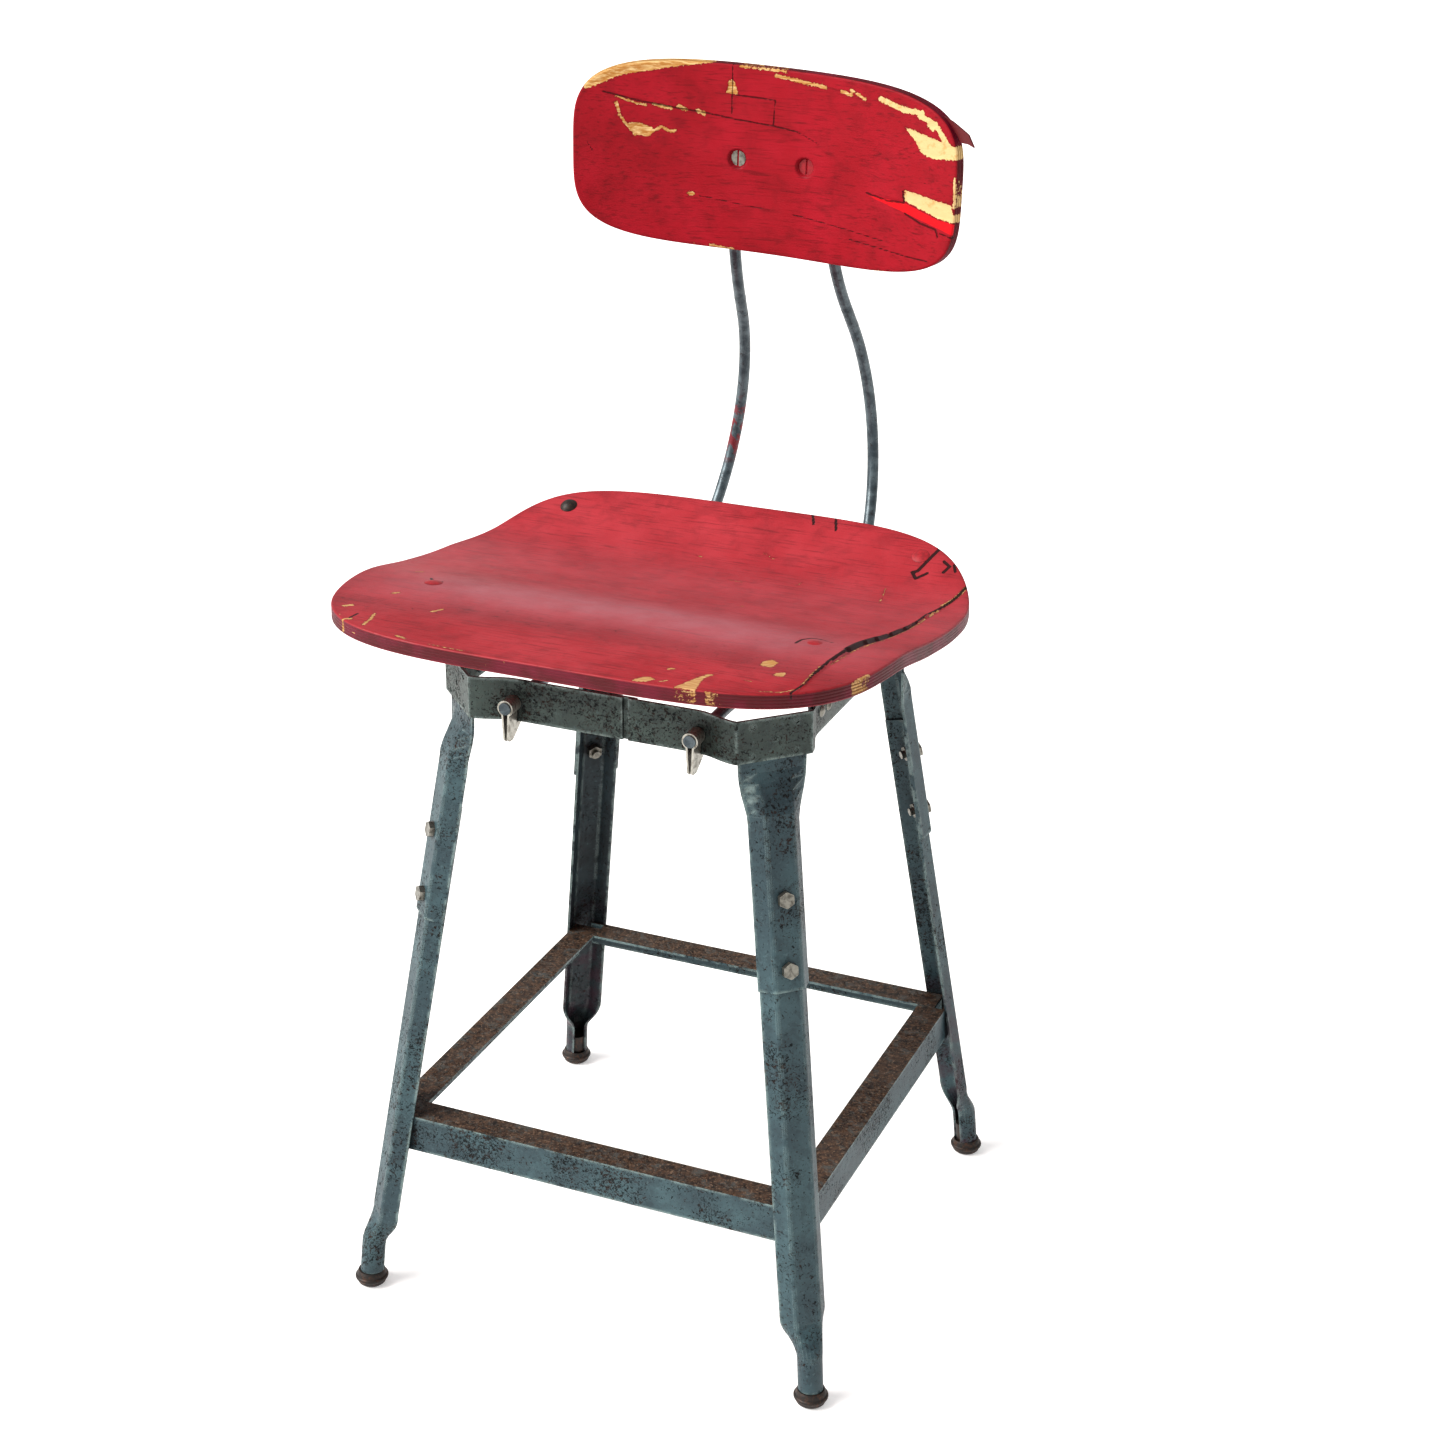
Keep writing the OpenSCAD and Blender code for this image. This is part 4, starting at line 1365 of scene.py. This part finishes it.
@dataclass
class Studio:
    """Pale floor, soft light and the camera."""

    sun_strength: float = 4.0
    sun_angle: float = 40.0
    sun_way: tuple[float, float, float] = (0.75, 0.6, -0.74)
    sky_strength: float = 0.56
    floor_half: float = 30.0
    place: tuple[float, float, float] = (0.7393, -1.7055, 1.2528)
    right: tuple[float, float, float] = (0.91516, 0.40309, 0.00034)
    back: tuple[float, float, float] = (0.36988, -0.84009, 0.39679)
    lens: float = 64.2
    sensor: float = 36.0
    shift_x: float = 0.033

    def build(self) -> None:
        """Build the floor, the lights and the camera."""
        self.floor()
        self.light()
        self.camera()
        LOG.info("set the studio")

    def floor(self) -> None:
        """Lay a wide plain floor."""
        half = self.floor_half
        corners = [(-half, -half, 0), (half, -half, 0), (half, half, 0), (-half, half, 0)]
        add_mesh("studio_floor", corners, [(0, 1, 2, 3)], StudioFloor().build())

    def light(self) -> None:
        """One broad sun from the front left over an even white sky."""
        world = bpy.data.worlds.new("soft_white_sky")
        world.use_nodes = True
        ground = world.node_tree.nodes["Background"]
        ground.inputs["Color"].default_value = (1.0, 1.0, 1.0, 1.0)
        ground.inputs["Strength"].default_value = self.sky_strength
        self.backdrop(world.node_tree)
        bpy.context.scene.world = world
        lamp = bpy.data.lights.new("broad_window", "SUN")
        lamp.energy = self.sun_strength
        lamp.angle = math.radians(self.sun_angle)
        lamp.color = (1.0, 0.985, 0.96)
        sun = bpy.data.objects.new("broad_window", lamp)
        sun.rotation_euler = Vector(self.sun_way).to_track_quat("-Z", "Y").to_euler()
        bpy.context.scene.collection.objects.link(sun)

    @staticmethod
    def backdrop(tree: bpy.types.NodeTree) -> None:
        """Show the camera a plain white sky, whatever its light.

        Args:
            tree: the world's nodes.
        """
        white = tree.nodes.new("ShaderNodeBackground")
        path = tree.nodes.new("ShaderNodeLightPath")
        mix = tree.nodes.new("ShaderNodeMixShader")
        tree.links.new(path.outputs["Is Camera Ray"], mix.inputs[0])
        tree.links.new(tree.nodes["Background"].outputs[0], mix.inputs[1])
        tree.links.new(white.outputs[0], mix.inputs[2])
        white.inputs["Color"].default_value = (1.0, 1.0, 1.0, 1.0)
        tree.links.new(mix.outputs[0], tree.nodes["World Output"].inputs["Surface"])

    def camera(self) -> None:
        """Stand the camera to the right of the front, looking down."""
        data = bpy.data.cameras.new("camera")
        data.lens = self.lens
        data.sensor_width = self.sensor
        data.shift_x = self.shift_x
        data.dof.use_dof = False
        camera = bpy.data.objects.new("camera", data)
        right = Vector(self.right).normalized()
        back = Vector(self.back).normalized()
        up = back.cross(right).normalized()
        turn = Matrix((right, up, back)).transposed().to_4x4()
        camera.matrix_world = Matrix.Translation(Vector(self.place)) @ turn
        bpy.context.scene.collection.objects.link(camera)
        bpy.context.scene.camera = camera
        view = bpy.context.scene.view_settings
        view.view_transform = "Standard"
        view.look = "Medium High Contrast"


def main() -> None:
    """Build each part of the chair's looks in turn."""
    logging.basicConfig(level=logging.INFO, format="%(name)s: %(message)s")
    nodes = frame["nodes"]
    joints = {joint["name"]: joint for joint in frame["joints"]}
    SteelFrame(nodes).build()
    low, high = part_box("seat_panel")
    seat = SeatPanel(
        name="painted_seat",
        node="seat_panel",
        body="frame",
        half_p=(high.x - low.x) / 2 / MM,
        half_q=(high.y - low.y) / 2 / MM,
        thickness=11.5,
        cells_p=250,
        cells_q=220,
        bare=SEAT_BARE,
        cracks=SEAT_CRACKS,
        centre_y=(high.y + low.y) / 2 / MM,
    )
    seat.build(PaintedPly("crimson_paint_on_seat_ply", seat.thickness).build())
    LOG.info("built the seat")
    back = BackrestPanel(
        name="painted_backrest",
        node="backrest_panel",
        body="backrest",
        half_p=161.4,
        half_q=73.0,
        thickness=10.0,
        cells_p=260,
        cells_q=130,
        bare=BACK_BARE,
        cracks=BACK_CRACKS,
        fresh=BACK_FRESH,
        pivot=tuple(joints["backrest_tilt"]["pos_m"]),
        pivot_offset=(16.96, 17.0),
    )
    ply = PaintedPly(
        "crimson_paint_on_backrest_ply",
        back.thickness,
        base="#8E0A1A",
        light="#9C1023",
        deep="#5A040B",
        wood="#A8763E",
        pale_wood="#D2B684",
        gloss=0.14,
        crack_reach=0.4,
        crack_depth=0.75,
        pale_from=0.08,
    )
    back.build(ply.build())
    Splinter(back).build(ColouredPaint("dark_red_paint_on_splinter", "#5E0F16").build())
    LOG.info("built the backrest")
    Studio().build()


if __name__ == "__main__":
    main()
